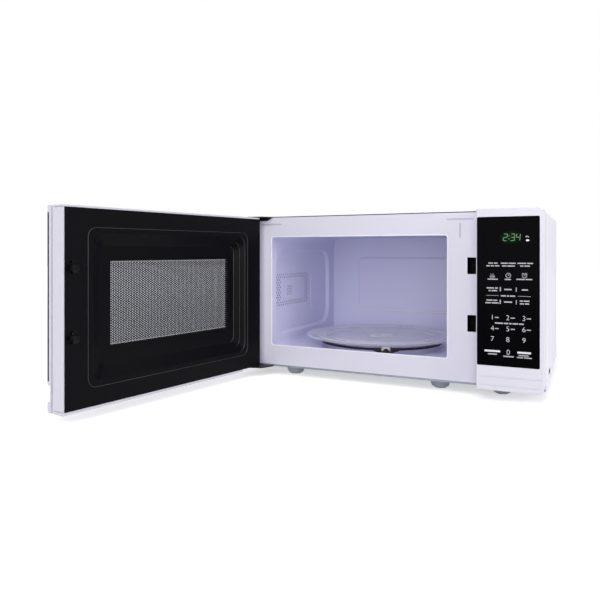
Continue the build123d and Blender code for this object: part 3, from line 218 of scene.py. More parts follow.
def galvanised(name):
    """Zinc-coated sheet: broad crystal spangle under a fine rolled grain."""
    f = Finish(name, srgb(136, 140, 152), 0.42, Metallic=0.5)
    spangle = f.cells(130.0)
    tones = [(0.0, srgb(128, 132, 145)), (1.0, srgb(144, 148, 160))]
    f.link(f.ramp(spangle.outputs["Color"], tones), f.shader.inputs["Base Color"])
    f.link(f.spread(spangle.outputs["Distance"], 0.36, 0.5, 0.0, 0.9), f.shader.inputs["Roughness"])
    f.grain(900.0, 0.00002, 2.0, f.stretched((1.0, 0.15, 1.0)))
    return f


WHITE = srgb(226, 224, 236)
BLACK = srgb(8, 8, 11)
PURE_WHITE = (1.0, 1.0, 1.0, 1.0)  # light and background

hinge_line = Vector((-217.5, -167.0, 0.0)) * MM
door_turn = radians(99.5)
door_dir = Vector((cos(door_turn), -sin(door_turn), 0.0))  # along the open door, hinge to free edge
inward = Vector((sin(door_turn), cos(door_turn), 0.0))  # out of its inner face


def on_door(along, out, z):
    """A point of the open door, in millimetres from the hinge line, in metres."""
    return hinge_line + (door_dir * along + inward * out + Vector((0, 0, z))) * MM


sheet_t = 0.5  # door screen sheet
sheet_lap = 7.0  # its plain margin, held behind the cover
screen_low, screen_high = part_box("door_screen")
screen_mid = (screen_low + screen_high) / 2 - hinge_line
screen_along = screen_mid.dot(door_dir) / MM
screen_out = screen_mid.dot(inward) / MM + sheet_t / 2
screen_z = screen_mid.z / MM
sheet_len = ((screen_high - screen_low).y / MM - sheet_t * abs(door_dir.x)) / abs(door_dir.y)
sheet_high = (screen_high - screen_low).z / MM
window_len = sheet_len - 2 * sheet_lap
window_high = sheet_high - 2 * sheet_lap
clear_margin, clear_margin_hinge = 5.0, 18.0  # clear glass past the perforated field


def tinted_glass(name):
    """Black-printed glass with a clear tinted window: print hides everything outside the window."""
    f = Finish(name, BLACK, 0.05, IOR=1.5, Specular_IOR_Level=0.12)
    along = f.add("ShaderNodeVectorMath", operation="DOT_PRODUCT")
    shift = f.add("ShaderNodeVectorMath", operation="SUBTRACT")
    shift.inputs[1].default_value = hinge_line
    f.link(f.place, shift.inputs[0])
    f.link(shift.outputs["Vector"], along.inputs[0])
    along.inputs[1].default_value = door_dir
    split = f.add("ShaderNodeSeparateXYZ")
    f.link(f.place, split.inputs["Vector"])
    mask = None
    clear_start = screen_along - window_len / 2 - clear_margin_hinge
    clear_end = screen_along + window_len / 2 + clear_margin
    clear_z = window_high / 2 + clear_margin
    limits = (
        (along.outputs["Value"], clear_start, clear_end),
        (split.outputs["Z"], screen_z - clear_z, screen_z + clear_z),
    )
    for source, low, high in limits:
        for operation, limit in (("GREATER_THAN", low * MM), ("LESS_THAN", high * MM)):
            test = f.add("ShaderNodeMath", operation=operation)
            f.link(source, test.inputs[0])
            test.inputs[1].default_value = limit
            if mask:
                both = f.add("ShaderNodeMath", operation="MULTIPLY")
                f.link(mask, both.inputs[0])
                f.link(test.outputs["Value"], both.inputs[1])
                mask = both.outputs["Value"]
            else:
                mask = test.outputs["Value"]
    tint = f.ramp(mask, [(0.0, BLACK), (1.0, srgb(185, 186, 193))])
    f.link(tint, f.shader.inputs["Base Color"])
    f.link(mask, f.shader.inputs["Transmission Weight"])
    f.grain(300.0, 0.000004, 1.0)
    return f


def clear_glass(name, tint):
    """Blown glass: a faint tint and a slow ripple."""
    f = Finish(name, tint, 0.03, IOR=1.5, Transmission_Weight=1.0)
    f.vary(40.0, 0.02)
    f.grain(55.0, 0.00004, 1.0)
    return f


def pressed_plate(name, tint, cover=0.1):
    """Pressed plate glass: a pale body of least cover face on, which shows most seen edge on."""
    f = Finish(name, tint, 0.06, IOR=1.5)
    facing = f.add("ShaderNodeLayerWeight")
    facing.inputs["Blend"].default_value = 0.45
    f.link(f.spread(facing.outputs["Facing"], cover, 0.8, 0.0, 1.0), f.shader.inputs["Alpha"])
    f.mottle(30.0, 0.97, 1.0)
    f.vary(40.0, 0.02)
    f.grain(55.0, 0.00004, 1.0)
    return f


def film(name, colour, roughness):
    """Printed polyester film: glossy, with the slight waviness of a bonded sheet."""
    f = Finish(name, colour, roughness, Specular_IOR_Level=0.015)
    f.mottle(30.0, 0.9, 1.0)
    f.vary(50.0, 0.04)
    f.grain(16.0, 0.00006, 1.0)
    f.grain(1400.0, 0.000006, 1.0)
    return f


def wound_copper(name):
    """Varnished magnet wire in level turns."""
    f = Finish(name, srgb(150, 82, 44), 0.3, Metallic=0.8, Coat_Weight=0.6)
    turns = f.add("ShaderNodeTexWave", bands_direction="Z")
    turns.inputs["Scale"].default_value = 170.0
    turns.inputs["Distortion"].default_value = 0.6
    f.link(f.place, turns.inputs["Vector"])
    f.mottle(60.0, 0.7, 1.0)
    f.bump(turns.outputs["Fac"], 0.0003)
    return f


def laminated(name):
    """A stack of steel laminations with varnish and a little rust."""
    f = Finish(name, srgb(92, 88, 90), 0.5, Metallic=0.7)
    sheets = f.add("ShaderNodeTexWave", bands_direction="X")
    sheets.inputs["Scale"].default_value = 320.0
    f.link(f.place, sheets.inputs["Vector"])
    tones = [(0.45, srgb(92, 88, 90)), (0.75, srgb(112, 84, 70))]
    f.link(f.ramp(f.noise(40.0, 4.0), tones), f.shader.inputs["Base Color"])
    f.bump(sheets.outputs["Fac"], 0.0002)
    return f


def circuit_board(name):
    """Solder mask over copper tracks."""
    f = Finish(name, srgb(28, 92, 58), 0.35, Coat_Weight=0.4)
    tracks = f.cells(190.0, "DISTANCE_TO_EDGE")
    tones = [(0.02, srgb(44, 122, 78)), (0.08, srgb(24, 84, 52))]
    f.link(f.ramp(tracks.outputs["Distance"], tones), f.shader.inputs["Base Color"])
    f.bump(tracks.outputs["Distance"], 0.00004)
    return f


def mica_sheet(name):
    """Pressed mica: pale flakes with glints."""
    f = Finish(name, srgb(196, 190, 196), 0.45)
    flakes = f.cells(420.0)
    tones = [(0.0, srgb(182, 175, 182)), (1.0, srgb(206, 202, 210))]
    f.link(f.ramp(flakes.outputs["Color"], tones), f.shader.inputs["Base Color"])
    f.link(f.spread(flakes.outputs["Distance"], 0.25, 0.6, 0.0, 0.8), f.shader.inputs["Roughness"])
    f.bump(flakes.outputs["Distance"], 0.00005)
    return f


def rubber(name, colour):
    """Moulded elastomer, dull, with dust in its pores."""
    f = Finish(name, colour, 0.62, Specular_IOR_Level=0.35)
    f.mottle(120.0, 0.85, 1.0, 4.0)
    f.grain(1100.0, 0.00006, 3.0)
    return f


every_finish = [
    powder_coat("cabinet_paint", WHITE),
    powder_coat("frame_enamel", srgb(211, 209, 223), 0.3, 0.00005),
    powder_coat("cavity_enamel", srgb(229, 228, 255), 0.3, 0.00008),
    galvanised("galvanised_sheet"),
    metal("screw_steel", srgb(190, 190, 196), 0.3),
    rubber("foot_rubber", srgb(172, 176, 185)),
    moulded("bushing_plastic", srgb(40, 40, 44), 0.5),
    moulded("panel_plastic", srgb(213, 211, 222), 0.38),
    film("overlay_film", srgb(3, 3, 5), 0.16),
    film("display_glass", srgb(5, 6, 6), 0.08),
    circuit_board("board_green"),
    moulded("door_plastic", srgb(213, 211, 223), 0.4),
    tinted_glass("door_black_glass"),
    moulded("door_cover_plastic", srgb(11, 10, 13), 0.34, 0.00004, 700.0, specular=0.05),
    powder_coat("screen_paint", srgb(22, 22, 26), 0.5, specular=0.1),
    moulded("latch_plastic", srgb(11, 11, 13), 0.4, specular=0.08),
    metal("spring_steel", srgb(176, 178, 184), 0.28, stretch=(1.0, 1.0, 8.0)),
    moulded("interlock_plastic", srgb(8, 8, 10), 0.5, specular=0.05),
    moulded("switch_plastic", srgb(10, 10, 11), 0.45, specular=0.05),
    moulded("plunger_plastic", srgb(9, 9, 10), 0.4, specular=0.05),
    powder_coat("hinge_black", srgb(14, 16, 26), 0.34, specular=0.25),
    pressed_plate("turntable_glass", srgb(236, 237, 247)),
    moulded("coupler_plastic", srgb(222, 220, 222), 0.45),
    moulded("ring_plastic", srgb(42, 36, 39), 0.45, specular=0.2),
    moulded("wheel_plastic", srgb(246, 246, 248), 0.4),
    mica_sheet("mica"),
    metal("motor_steel", srgb(184, 186, 192), 0.36),
    metal("magnetron_copper", srgb(186, 118, 82), 0.32),
    laminated("core_steel"),
    wound_copper("winding_copper"),
    metal("capacitor_can", srgb(198, 200, 204), 0.3, stretch=(1.0, 0.2, 1.0)),
    moulded("diode_body", srgb(30, 30, 32), 0.35),
    moulded("fan_plastic", srgb(206, 204, 200), 0.42),
    clear_glass("lamp_glass", srgb(240, 240, 236)),
    moulded("holder_plastic", srgb(196, 192, 182), 0.5),
    moulded("cutout_body", srgb(46, 42, 40), 0.4),
]
finishes = {f.name: f for f in every_finish}

for part in frame["record"]["subparts"]:
    painted = nodes[part["node"]]
    painted.data.materials.clear()
    painted.data.materials.append(finishes[part["material_slot"]].material)

front_y = -149.0  # face of the front frame
press_depth = 0.25  # the frame is painted darker this far behind its face: a painted shade in its grooves
groove_painted_shade = 0.72
# painted shade: the frame enamel is painted darker inside its pressed grooves, where shade falls
finishes["frame_enamel"].past("Y", "GREATER_THAN", (front_y + press_depth) * MM, groove_painted_shade)

hole_depth = 0.5  # painted shade: the left wall's sheet is painted dark this far in from its outer side, inside its holes
hole_painted_shade = 0.02
holes_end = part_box("cavity_left_wall")[0].x + hole_depth * MM
wall_enamel_painted_shade = powder_coat("cavity_wall_enamel_painted_hole_shade", srgb(229, 228, 255), 0.3, 0.00008)
# painted shade: the walls of the left wall's holes are painted near black, standing in for the
# shade inside them
wall_enamel_painted_shade.past("X", "LESS_THAN", holes_end, hole_painted_shade)
nodes["cavity_left_wall"].data.materials[0] = wall_enamel_painted_shade.material


# ---------------------------------------------------------------- mesh helpers
def new_piece(name, mesh, body, material):
    """A mesh as a named piece that rides on a body."""
    mesh.materials.append(material)
    piece = bpy.data.objects.new(name, mesh)
    bpy.context.scene.collection.objects.link(piece)
    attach(piece, body)
    return piece


def finish_mesh(name, bm):
    """The edited mesh with its normals made consistent."""
    bmesh.ops.recalc_face_normals(bm, faces=bm.faces)
    mesh = bpy.data.meshes.new(name)
    bm.to_mesh(mesh)
    bm.free()
    return mesh


def slab(bm, outline, lift, at):
    """A flat shape of (x, z) millimetre points, lift thick, placed by at(x, z, height)."""
    back = [bm.verts.new(at(x, z, 0.0)) for x, z in outline]
    face = [bm.verts.new(at(x, z, lift)) for x, z in outline]
    bm.faces.new(face)
    count = len(outline)
    for i in range(count):
        bm.faces.new((back[i], back[(i + 1) % count], face[(i + 1) % count], face[i]))


def bar(x0, x1, z, height):
    """A level bar centred on z."""
    return [(x0, z - height / 2), (x1, z - height / 2), (x1, z + height / 2), (x0, z + height / 2)]


def stroke(a, b, width):
    """A straight stroke from a to b, a little longer so that strokes in a row join."""
    along = Vector((b[0] - a[0], b[1] - a[1])).normalized() * width / 2
    across = Vector((-along.y, along.x))
    over = 0.3  # of half the width, past each end
    ends = ((a, -over, 1), (b, over, 1), (b, over, -1), (a, -over, -1))
    return [
        (p[0] + along.x * s + across.x * t, p[1] + along.y * s + across.y * t) for p, s, t in ends
    ]


def arc(centre, radius, start, end, width, steps=16):
    """Strokes along an arc; angles in degrees."""
    spots = [
        (centre[0] + radius * cos(radians(start + (end - start) * i / steps)),
         centre[1] + radius * sin(radians(start + (end - start) * i / steps)))
        for i in range(steps + 1)
    ]
    return [stroke(a, b, width) for a, b in zip(spots, spots[1:])]


def oval(half_w, half_h, cx=0.0, cy=0.0, steps=48):
    """Points round an ellipse."""
    turns = [2 * pi * k / steps for k in range(steps)]
    return [(cx + half_w * cos(a), cy + half_h * sin(a)) for a in turns]


corner_points = 7  # round each corner of a rounded rectangle


def rounded(cx, cz, w, h, r):
    """Points round a rectangle with rounded corners, from the lower right one over the top."""
    points = []
    for sx, sz, start in ((1, -1, -90), (1, 1, 0), (-1, 1, 90), (-1, -1, 180)):
        for k in range(corner_points):
            a = radians(start + 90 * k / (corner_points - 1))
            points.append((cx + sx * (w / 2 - r) + r * cos(a), cz + sz * (h / 2 - r) + r * sin(a)))
    return points


tube_sides = 10
thin_end, thin_rings = 0.25, 4  # an open tube's ends: share of its radius, rings to the full one


def roll(bm, outline, radius, at, loop=True, sides=tube_sides):
    """A tube along an outline, centred on at(x, z, height); the ends of an open one thin out."""
    count = len(outline)
    turns = [2 * pi * k / sides for k in range(sides)]
    rings = []
    for i in range(count):
        before, here, after = (Vector(outline[(i + k) % count]) for k in (-1, 0, 1))
        if not loop and i in (0, count - 1):
            before, after = (here, after) if i == 0 else (before, here)
        along = ((here - before).normalized() + (after - here).normalized()).normalized()
        from_end = min(i, count - 1 - i) / thin_rings
        reach = radius if loop else radius * min(1.0, thin_end + (1 - thin_end) * from_end)
        across = Vector((along.y, -along.x)) * reach
        spots = [(here + across * cos(a), reach * sin(a)) for a in turns]
        rings.append([bm.verts.new(at(spot.x, spot.y, lift)) for spot, lift in spots])
    for a, b in zip(rings, rings[1:] + rings[:1] if loop else rings[1:]):
        for k in range(sides):
            n = (k + 1) % sides
            bm.faces.new((a[k], a[n], b[n], b[k])).smooth = True
    if not loop:
        bm.faces.new(rings[0])
        bm.faces.new(rings[-1][::-1])


def bead(name, outline, radius, at, body, material, loop=True):
    """A rounded rim along an outline, as a piece of its own."""
    bm = bmesh.new()
    roll(bm, outline, radius, at, loop)
    return new_piece(name, finish_mesh(name, bm), body, material)


# ---------------------------------------------------------------- rolled and moulded rims
def upright(y):
    """A placing of (x, z, height) millimetres on an upright face at y, height towards the user."""
    return lambda x, z, height: Vector((x, y - height, z)) * MM


def cover_face(out):
    """A placing of (along, z, height) on the open door, height out of its inner face."""
    return lambda along, z, height: on_door(along, out + height, z)


# painted highlight: the opening's rolled edge is painted lighter than the frame enamel it belongs
# to
lip_enamel_painted_highlight = powder_coat("lip_enamel_painted_highlight", srgb(232, 231, 243), 0.2, 0.00003)
rim_enamel = powder_coat("rim_enamel", srgb(226, 225, 250), 0.16, 0.00003)
# painted highlight: the lower back-wall rim is painted near white, lighter than the cavity enamel,
# as well as glossier
rim_gloss_and_painted_highlight = powder_coat("rim_gloss_and_painted_highlight", srgb(253, 253, 255), 0.12, 0.00003, 1.0)
rim_gloss_and_painted_highlight.set("Coat Weight", 1.0)
rim_black = moulded("rim_black", srgb(14, 13, 16), 0.22, 0.00002, 700.0, 0.45)
cavity_mid = (-45.5, 136.5)
open_size = (284.0, 177.0, 4.0)  # the opening: width, height, corner
boss_size = (181.0, 103.0, 10.0)  # the back wall's pressing: the same
back_wall_y = 132.0
cover_out, dish_out = 16.5, 8.5  # door cover's face and its dish, out from the hinge line
groove_form = (175.0, 134.25, 297.0, 191.5, 11.5)  # middle and size on the door, corner
open_edge, boss_edge, groove_edge = 1.1, 1.3, 0.6  # radii of the rolled edges
open_edge_in, boss_edge_in, groove_edge_in = 0.7, 0.3, 0.2  # how far behind the face they run
dish_rims = (  # the same form, then distance out from the hinge line and thickness
    (175.0, 134.25, 284.0, 178.5, 14.0, cover_out - 0.3, 0.7),
    (175.8, 134.25, 266.0, 162.0, 12.0, (cover_out + dish_out) / 2 + 0.6, 0.6),
    (176.5, 134.25, 250.0, 147.5, 9.8, dish_out + 0.2, 0.7),
)
bead(
    "opening_rolled_edge", rounded(*cavity_mid, *open_size), open_edge,
    upright(front_y + open_edge_in), "cabinet", lip_enamel_painted_highlight.material,
)
boss_rim = rounded(*cavity_mid, *boss_size)
boss_lower = boss_rim[3 * corner_points:] + boss_rim[:corner_points]
boss_upper = boss_rim[corner_points - 1:3 * corner_points + 1]
for name, part, finish in (("lower", boss_lower, rim_gloss_and_painted_highlight), ("upper", boss_upper, rim_enamel)):
    bead(
        f"back_wall_rim_{name}", part, boss_edge,
        upright(back_wall_y - boss_edge_in), "cabinet", finish.material, False,
    )
bead(
    "door_cover_rim", rounded(*groove_form), groove_edge,
    cover_face(cover_out - groove_edge_in), "door", rim_black.material,
)
for k, (*form, out, thick) in enumerate(dish_rims):
    bead(
        f"door_dish_rib_{k}", rounded(*form)[2 * corner_points:], thick,
        cover_face(out), "door", rim_black.material, False,
    )

# ---------------------------------------------------------------- glass plate's moulded pattern
plate_low, plate_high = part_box("glass_turntable")
plate_x, plate_y = ((plate_low + plate_high) / 2 / MM)[:2]
plate_well_z, plate_track_z = 55.9, 56.8
petal_n, petal_ring = 12, 15.0
petal_half = (5.5, 2.4)  # along and across
petal_edge = 0.7
well_rings = ((6.0, 0.8), (25.0, 0.8), (88.0, 0.6))  # radius, thickness
track_ring = (109.0, 0.6)
ridge_sides = 8


def level(z):
    """A placing of (x, y, height) millimetres from the plate's middle on a level face."""
    return lambda x, y, height: Vector((plate_x + x, plate_y + y, z + height)) * MM


def petal(turn):
    """An oval that stands away from the plate's middle, turned round it."""
    return [
        (x * cos(turn) - y * sin(turn), x * sin(turn) + y * cos(turn))
        for x, y in oval(*petal_half, petal_ring, steps=12)
    ]


bm = bmesh.new()
for k in range(petal_n):
    roll(bm, petal(2 * pi * k / petal_n), petal_edge, level(plate_well_z), sides=ridge_sides)
for r, thick in well_rings:
    roll(bm, oval(r, r), thick, level(plate_well_z), sides=ridge_sides)
r, thick = track_ring
roll(bm, oval(r, r, steps=72), thick, level(plate_track_z), sides=ridge_sides)
# painted highlight: the pressed rings are a lighter, more opaque copy of the plate glass
ridge_glass_painted_highlight = pressed_plate("plate_ridge_glass", srgb(246, 247, 251), cover=0.35)
rosette = finish_mesh("plate_pressed_rings", bm)
new_piece("plate_pressed_rings", rosette, "plate", ridge_glass_painted_highlight.material)

# ---------------------------------------------------------------- perforated door screen
hole_pitch = 3.0  # between neighbours in a column
column_pitch = hole_pitch * sqrt(3) / 2
hole_r = 1.1
margin_sunk = 0.02  # the plain margin lies this far behind the perforated field
margin_lap = (0.1, 0.11)  # and runs this far under it, along and up
weld = 0.00001  # corners nearer than this, in metres, are one


def screen_face(along, z, depth):
    """A point of the screen, in millimetres from its middle, depth behind its inner face."""
    return on_door(screen_along + along, screen_out - depth, screen_z + z)


def perforated_screen():
    """Six quads around each hexagonal hole, its walls, and a plain margin to the sheet's edge."""
    columns = int(window_len / column_pitch)
    rows = int(window_high / hole_pitch)
    cell = hole_pitch / sqrt(3)
    hexagons = ((cell, 0.0), (hole_r, 0.0), (hole_r, sheet_t))  # radius, depth
    bm = bmesh.new()
    for i in range(columns):
        x = (i - (columns - 1) / 2) * column_pitch
        for j in range(rows - i % 2):
            z = (j - (rows - 1 - i % 2) / 2) * hole_pitch
            rim, lip, base = (
                [bm.verts.new(screen_face(*point, depth)) for point in oval(r, r, x, z, steps=6)]
                for r, depth in hexagons
            )
            for k in range(6):
                n = (k + 1) % 6
                bm.faces.new((rim[k], rim[n], lip[n], lip[k]))
                bm.faces.new((lip[k], lip[n], base[n], base[k]))
    half_x = columns * column_pitch / 2 - margin_lap[0]
    half_z = (rows - 1) * hole_pitch / 2 + hole_r - margin_lap[1]
    edge_x, edge_z = sheet_len / 2, sheet_high / 2
    for x0, x1, z0, z1 in (
        (-edge_x, -half_x, -edge_z, edge_z),
        (half_x, edge_x, -edge_z, edge_z),
        (-half_x, half_x, -edge_z, -half_z),
        (-half_x, half_x, half_z, edge_z),
    ):
        corners = ((x0, z0), (x1, z0), (x1, z1), (x0, z1))
        bm.faces.new([bm.verts.new(screen_face(x, z, margin_sunk)) for x, z in corners])
    bmesh.ops.remove_doubles(bm, verts=bm.verts, dist=weld)
    return finish_mesh("door_screen_sheet", bm)


screen = new_piece(
    "door_screen_sheet", perforated_screen(), "door",
    finishes["screen_paint"].material,
)
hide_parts("door_screen")

# ---------------------------------------------------------------- keypad prints
print_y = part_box("keypad_overlay")[0].y
print_lift = 0.04  # ink stands this far off the film
word_gap = 1.1


def on_keypad(x, z, height):
    return Vector((x * MM, print_y - height * MM, z * MM))


def words(x0, x1, z, height, *spaces):
    """A line of print as plain bars, broken at the given shares of its length."""
    cuts = [0.0, *spaces, 1.0]
    gap = word_gap / (x1 - x0)
    shapes = []
    for a, b in zip(cuts, cuts[1:]):
        low = a + gap / 2 if a else 0.0
        high = b - gap / 2 if b < 1 else 1.0
        shapes.append(bar(x0 + low * (x1 - x0), x0 + high * (x1 - x0), z, height))
    return shapes


letter_spans = ((165.2, 170.0), (185.0, 190.2), (204.6, 209.8))  # beside the numbers
small_lines = (  # from and to, middle height, letter height, where words part
    (157.0, 168.6, 185.7, 1.5, 0.55),
    (154.4, 171.0, 182.1, 1.5, 0.3, 0.62),
    (172.6, 191.2, 185.6, 1.5, 0.5),
    (174.2, 190.2, 182.0, 1.5, 0.38),
    (193.4, 212.2, 185.6, 1.5, 0.6),
    (196.6, 208.4, 182.1, 1.5, 0.4),
    (156.0, 168.9, 164.3, 1.5),
    (177.6, 185.4, 164.3, 1.5),
    (192.2, 211.4, 164.7, 1.5, 0.55),
    (154.8, 169.0, 152.6, 1.6, 0.7),
    (157.2, 168.0, 149.1, 1.6, 0.3),
    (176.9, 186.2, 151.0, 1.7),
    (198.6, 206.2, 151.0, 1.7),
    (172.8, 190.4, 142.5, 1.7, 0.4, 0.62),
    (154.5, 168.2, 136.3, 1.6, 0.6),
    (153.0, 169.9, 132.8, 1.6, 0.45),
    (176.6, 186.8, 134.5, 1.7),
    (196.2, 208.0, 136.4, 1.6, 0.35),
    (196.2, 207.6, 132.8, 1.6, 0.5),
    (165.2, 201.2, 106.2, 1.7, 0.3, 0.48, 0.6, 0.82),
    (156.2, 167.8, 64.7, 1.5),
    (175.8, 188.9, 62.8, 1.5),
    (194.8, 207.0, 65.2, 1.4),
    (192.6, 210.8, 62.5, 1.4, 0.45),
    *[(x0, x1, z, 1.3) for z in (113.6, 98.8) for x0, x1 in letter_spans],
)
bold_lines = ((152.0, 171.8, 68.8, 2.5), (193.2, 209.8, 68.9, 2.5))
small_print, bold_print = (
    [shape for line in lines for shape in words(*line)] for lines in (small_lines, bold_lines)
)

rule_t, divider_h = 0.45, 5.6
rules = ((154.3, 170.0, 142.6), (193.8, 209.6, 142.6))  # from and to, height
dividers = ((172.1, 151.2, 0.7), (191.9, 151.0, 0.45), (171.9, 134.4, 0.7), (191.9, 134.4, 0.45))
line_print = [
    *[bar(*rule, rule_t) for rule in rules],
    *[bar(x - half_w, x + half_w, z, divider_h) for x, z, half_w in dividers],
]


def clock_icon(x, z, r):
    """A dial with two hands."""
    hands = [stroke((x, z), (x, z + r * 0.55), 0.6), stroke((x, z), (x + r * 0.45, z), 0.6)]
    return [*arc((x, z), r, 0, 360, 0.95, 20), *hands]


icon_z = 169.4
bowl_x, bowl_r, brim_half = 162.0, 2.9, 3.2
wisp_r, wisp_t, wisp_lean = 0.8, 0.6, 0.4
bowl_icon = []
for shift in (-1.7, 0.0, 1.7):
    bowl_icon += arc((bowl_x + shift - wisp_lean, icon_z + 0.2), wisp_r, -60, 60, wisp_t, 6)
    bowl_icon += arc((bowl_x + shift + wisp_lean, icon_z + 1.6), wisp_r, 120, 240, wisp_t, 6)
bowl_icon += arc((bowl_x, icon_z - 0.6), bowl_r, 200, 340, 0.9, 12)
brim_z = icon_z - 1.2
bowl_icon.append(stroke((bowl_x - brim_half, brim_z), (bowl_x + brim_half, brim_z), 0.8))
icons = [
    *bowl_icon,
    *clock_icon(182.0, icon_z, 3.0),
    *clock_icon(202.0, icon_z - 0.2, 2.6),
    *arc((200.3, icon_z + 2.0), 1.2, 45, 225, 1.0, 6),
    *arc((203.7, icon_z + 2.0), 1.2, -45, 135, 1.0, 6),
    stroke((203.6, 220.2), (205.0, 221.1), 1.3),
    stroke((205.0, 221.1), (207.0, 219.9), 1.3),
]
status_mark = [oval(2.1, 1.2, 205.6, 215.7, steps=16)]


def printed(name, shapes, material, lift=print_lift):
    """Flat shapes on the keypad as one piece."""
    bm = bmesh.new()
    for outline in shapes:
        slab(bm, outline, lift, on_keypad)
    return new_piece(name, finish_mesh(name, bm), "cabinet", material)


def ink(name, colour):
    """Screen-printed ink: matt, slightly uneven cover."""
    f = Finish(name, colour, 0.5)
    f.mottle(900.0, 0.82, 1.0, 2.0)
    f.grain(2600.0, 0.00001, 2.0)
    return f.material


def lit(name, colour, strength):
    """Light from a display segment, a little uneven across it."""
    f = Finish(name, shade(colour, 0.4), 0.3)
    glow = f.ramp(f.noise(1500.0, 2.0), [(0.2, shade(colour, 0.85)), (0.8, colour)])
    f.link(glow, f.shader.inputs["Emission Color"])
    f.set("Emission Strength", strength)
    return f.material


white_ink = ink("keypad_ink", srgb(176, 176, 184))
bright_ink = ink("keypad_bold_ink", srgb(224, 224, 230))
printed("keypad_small_print", small_print, white_ink)
printed("keypad_bold_print", bold_print, bright_ink)
printed("keypad_lines", line_print, white_ink)
printed("keypad_icons", icons, white_ink)
printed("status_light", status_mark, lit("status_white", srgb(250, 250, 252), 0.5))

digit_rows = (("123", 113.4), ("456", 98.8), ("789", 84.7))
digit_xs = (162.0, 181.4, 201.3)
zero_at = (181.9, 68.0)
digit_size = 9.6
digit_offset = -0.16  # makes the letter form thinner


def digit(character, x, z):
    """A number as raised ink, centred on its key."""
    curve = bpy.data.curves.new(f"key_{character}", "FONT")
    curve.body = character
    curve.align_x = "CENTER"
    curve.align_y = "CENTER"
    curve.size = digit_size * MM
    curve.extrude = print_lift * MM / 2
    curve.offset = digit_offset * MM
    curve.materials.append(bright_ink)
    text = bpy.data.objects.new(f"key_{character}", curve)
    bpy.context.scene.collection.objects.link(text)
    text.rotation_euler = (pi / 2, 0, 0)
    text.location = on_keypad(x, z, print_lift / 2)
    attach(text, "cabinet")


for characters, row_z in digit_rows:
    for character, key_x in zip(characters, digit_xs):
        digit(character, key_x, row_z)
digit("0", *zero_at)

# ---------------------------------------------------------------- display
SEGMENTS = {"2": "abged", "3": "abgcd", "4": "fgbc"}
seg_w, seg_h, seg_t = 4.5, 8.9, 0.64  # width and height of a digit, thickness of its segments
seg_slant, seg_gap = 0.10, 0.12  # lean to the right, gap at each end of a segment


def segment_digit(character, x, z):
    """Seven slanted segments; a is the top one, g the middle one."""
    half = seg_h / 2
    ends = {
        "a": ((0, seg_h), (seg_w, seg_h)),
        "b": ((seg_w, seg_h), (seg_w, half)),
        "c": ((seg_w, half), (seg_w, 0)),
        "d": ((0, 0), (seg_w, 0)),
        "e": ((0, half), (0, 0)),
        "f": ((0, seg_h), (0, half)),
        "g": ((0, half), (seg_w, half)),
    }
    shapes = []
    for name in SEGMENTS[character]:
        a, b = (Vector(p) for p in ends[name])
        along = (b - a).normalized()
        across = Vector((-along.y, along.x)) * seg_t / 2
        a, b = a + along * seg_gap, b - along * seg_gap
        tip = along * seg_t / 2
        outline = [a, a + tip + across, b - tip + across, b, b - tip - across, a + tip - across]
        shapes.append([(x + p.x + p.y * seg_slant, z + p.y) for p in outline])
    return shapes


clock_digits = (("2", 175.6), ("3", 184.8), ("4", 191.6))
clock_low = 215.3
colon_x, colon_r = 182.5, 0.6
colon_heights = (2.6, 6.4)
glow_mid, glow_reach = (185.5, 219.8), (15.0, 8.5)
glow_lift = 0.012


def halo(name, colour):
    """The faint light that spreads in the display window round its digits."""
    f = Finish(name, srgb(3, 4, 4), 0.1, Specular_IOR_Level=0.02)
    centre = f.add("ShaderNodeMapping", vector_type="TEXTURE")
    centre.inputs["Location"].default_value = on_keypad(*glow_mid, 0.0)
    centre.inputs["Scale"].default_value = (glow_reach[0] * MM, 1.0, glow_reach[1] * MM)
    f.link(f.place, centre.inputs["Vector"])
    away = f.add("ShaderNodeVectorMath", operation="LENGTH")
    f.link(centre.outputs["Vector"], away.inputs[0])
    near = f.spread(away.outputs["Value"], 1.0, 0.0, 0.35, 1.0)
    light = f.ramp(near, [(0.0, (0.0, 0.0, 0.0, 1.0)), (1.0, colour)])
    f.link(light, f.shader.inputs["Emission Color"])
    f.set("Emission Strength", 1.0)
    return f.material


glow_patch = oval(*glow_reach, *glow_mid, steps=24)
glow_light = halo("display_halo", srgb(4, 34, 8))
printed("display_glow", [glow_patch], glow_light, glow_lift)
lit_shapes = []
for character, x in clock_digits:
    lit_shapes += segment_digit(character, x, clock_low)
for z in colon_heights:
    lit_shapes.append(oval(colon_r, colon_r, colon_x + z * seg_slant, clock_low + z, steps=8))
green_light = lit("display_light", srgb(86, 154, 92), 0.8)
printed("display_segments", lit_shapes, green_light)

# ---------------------------------------------------------------- stage, lights, camera
def seen_rays(tree):
    """1 for the rays that show the background: to the camera, off gloss and through glass."""
    rays = tree.nodes.new("ShaderNodeLightPath")
    total = rays.outputs["Is Camera Ray"]
    for kind in ("Is Glossy Ray", "Is Transmission Ray"):
        either = tree.nodes.new("ShaderNodeMath")
        either.operation = "MAXIMUM"
        tree.links.new(total, either.inputs[0])
        tree.links.new(rays.outputs[kind], either.inputs[1])
        total = either.outputs["Value"]
    return total


def stage_material(name, colour, lift, far_lift):
    """Pale ground that those rays see lifted to white, with the object's shadow kept."""
    f = Finish(name, colour, 0.9, Specular_IOR_Level=0.1)
    f.mottle(4.0, 0.995, 1.0)
    away = f.add("ShaderNodeVectorMath", operation="LENGTH")
    f.link(f.place, away.inputs[0])
    glow = f.add("ShaderNodeMath", operation="MULTIPLY")
    f.link(seen_rays(f.tree), glow.inputs[0])
    f.link(f.spread(away.outputs["Value"], lift, far_lift, 0.5, 2.5), glow.inputs[1])
    f.set("Emission Color", PURE_WHITE)
    f.link(glow.outputs["Value"], f.shader.inputs["Emission Strength"])
    return f.material


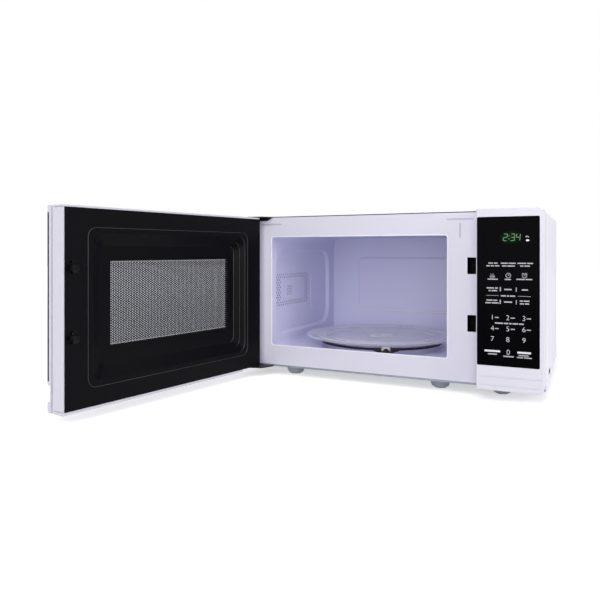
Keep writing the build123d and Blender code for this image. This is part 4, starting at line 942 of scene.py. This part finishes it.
floor_half = 6.0
bm = bmesh.new()
bmesh.ops.create_grid(bm, x_segments=8, y_segments=8, size=floor_half)
floor_mesh = bpy.data.meshes.new("floor")
bm.to_mesh(floor_mesh)
bm.free()
floor_mesh.materials.append(stage_material("floor_white", srgb(238, 238, 240), 0.5, 0.9))
floor = bpy.data.objects.new("floor", floor_mesh)
bpy.context.scene.collection.objects.link(floor)

world = bpy.data.worlds.new("studio")
bpy.context.scene.world = world
world.use_nodes = True
sky = world.node_tree
backdrop = sky.nodes["Background"]
backdrop.inputs["Color"].default_value = PURE_WHITE
strength = sky.nodes.new("ShaderNodeMapRange")
strength.inputs["To Min"].default_value = 0.3  # what lights the object
strength.inputs["To Max"].default_value = 1.0  # what is seen, white
sky.links.new(seen_rays(sky), strength.inputs["Value"])
sky.links.new(strength.outputs["Result"], backdrop.inputs["Strength"])


def lamp(name, at, aim, size, power):
    """A soft box at a point, turned to another."""
    light = bpy.data.lights.new(name, "AREA")
    light.shape = "RECTANGLE"
    light.size, light.size_y = size
    light.energy = power
    box = bpy.data.objects.new(name, light)
    bpy.context.scene.collection.objects.link(box)
    box.location = at
    box.rotation_euler = (Vector(aim) - Vector(at)).to_track_quat("-Z", "Y").to_euler()


# place, aim, width and height in metres, power in watts
lamp("top_soft_box", (0.1, -1.1, 2.1), (0.0, 0.0, 0.1), (1.8, 1.8), 16.0)
lamp("right_soft_box", (2.0, -0.65, 0.7), (0.1, 0.0, 0.12), (1.2, 1.2), 18.0)
lamp("front_soft_box", (0.3, -2.2, 0.9), (0.0, 0.0, 0.12), (1.5, 1.9), 24.0)

# the camera was fitted to the corners that show in the photograph
camera_data = bpy.data.cameras.new("camera")
camera_data.lens = 36.19
camera_data.shift_x = 0.0282
camera_data.shift_y = -0.0844
camera = bpy.data.objects.new("camera", camera_data)
camera.location = (0.27517, -1.02963, 0.20172)
camera.rotation_euler = (radians(90), 0, radians(26.63))
bpy.context.scene.collection.objects.link(camera)
bpy.context.scene.camera = camera
bpy.context.scene.view_settings.view_transform = "Standard"
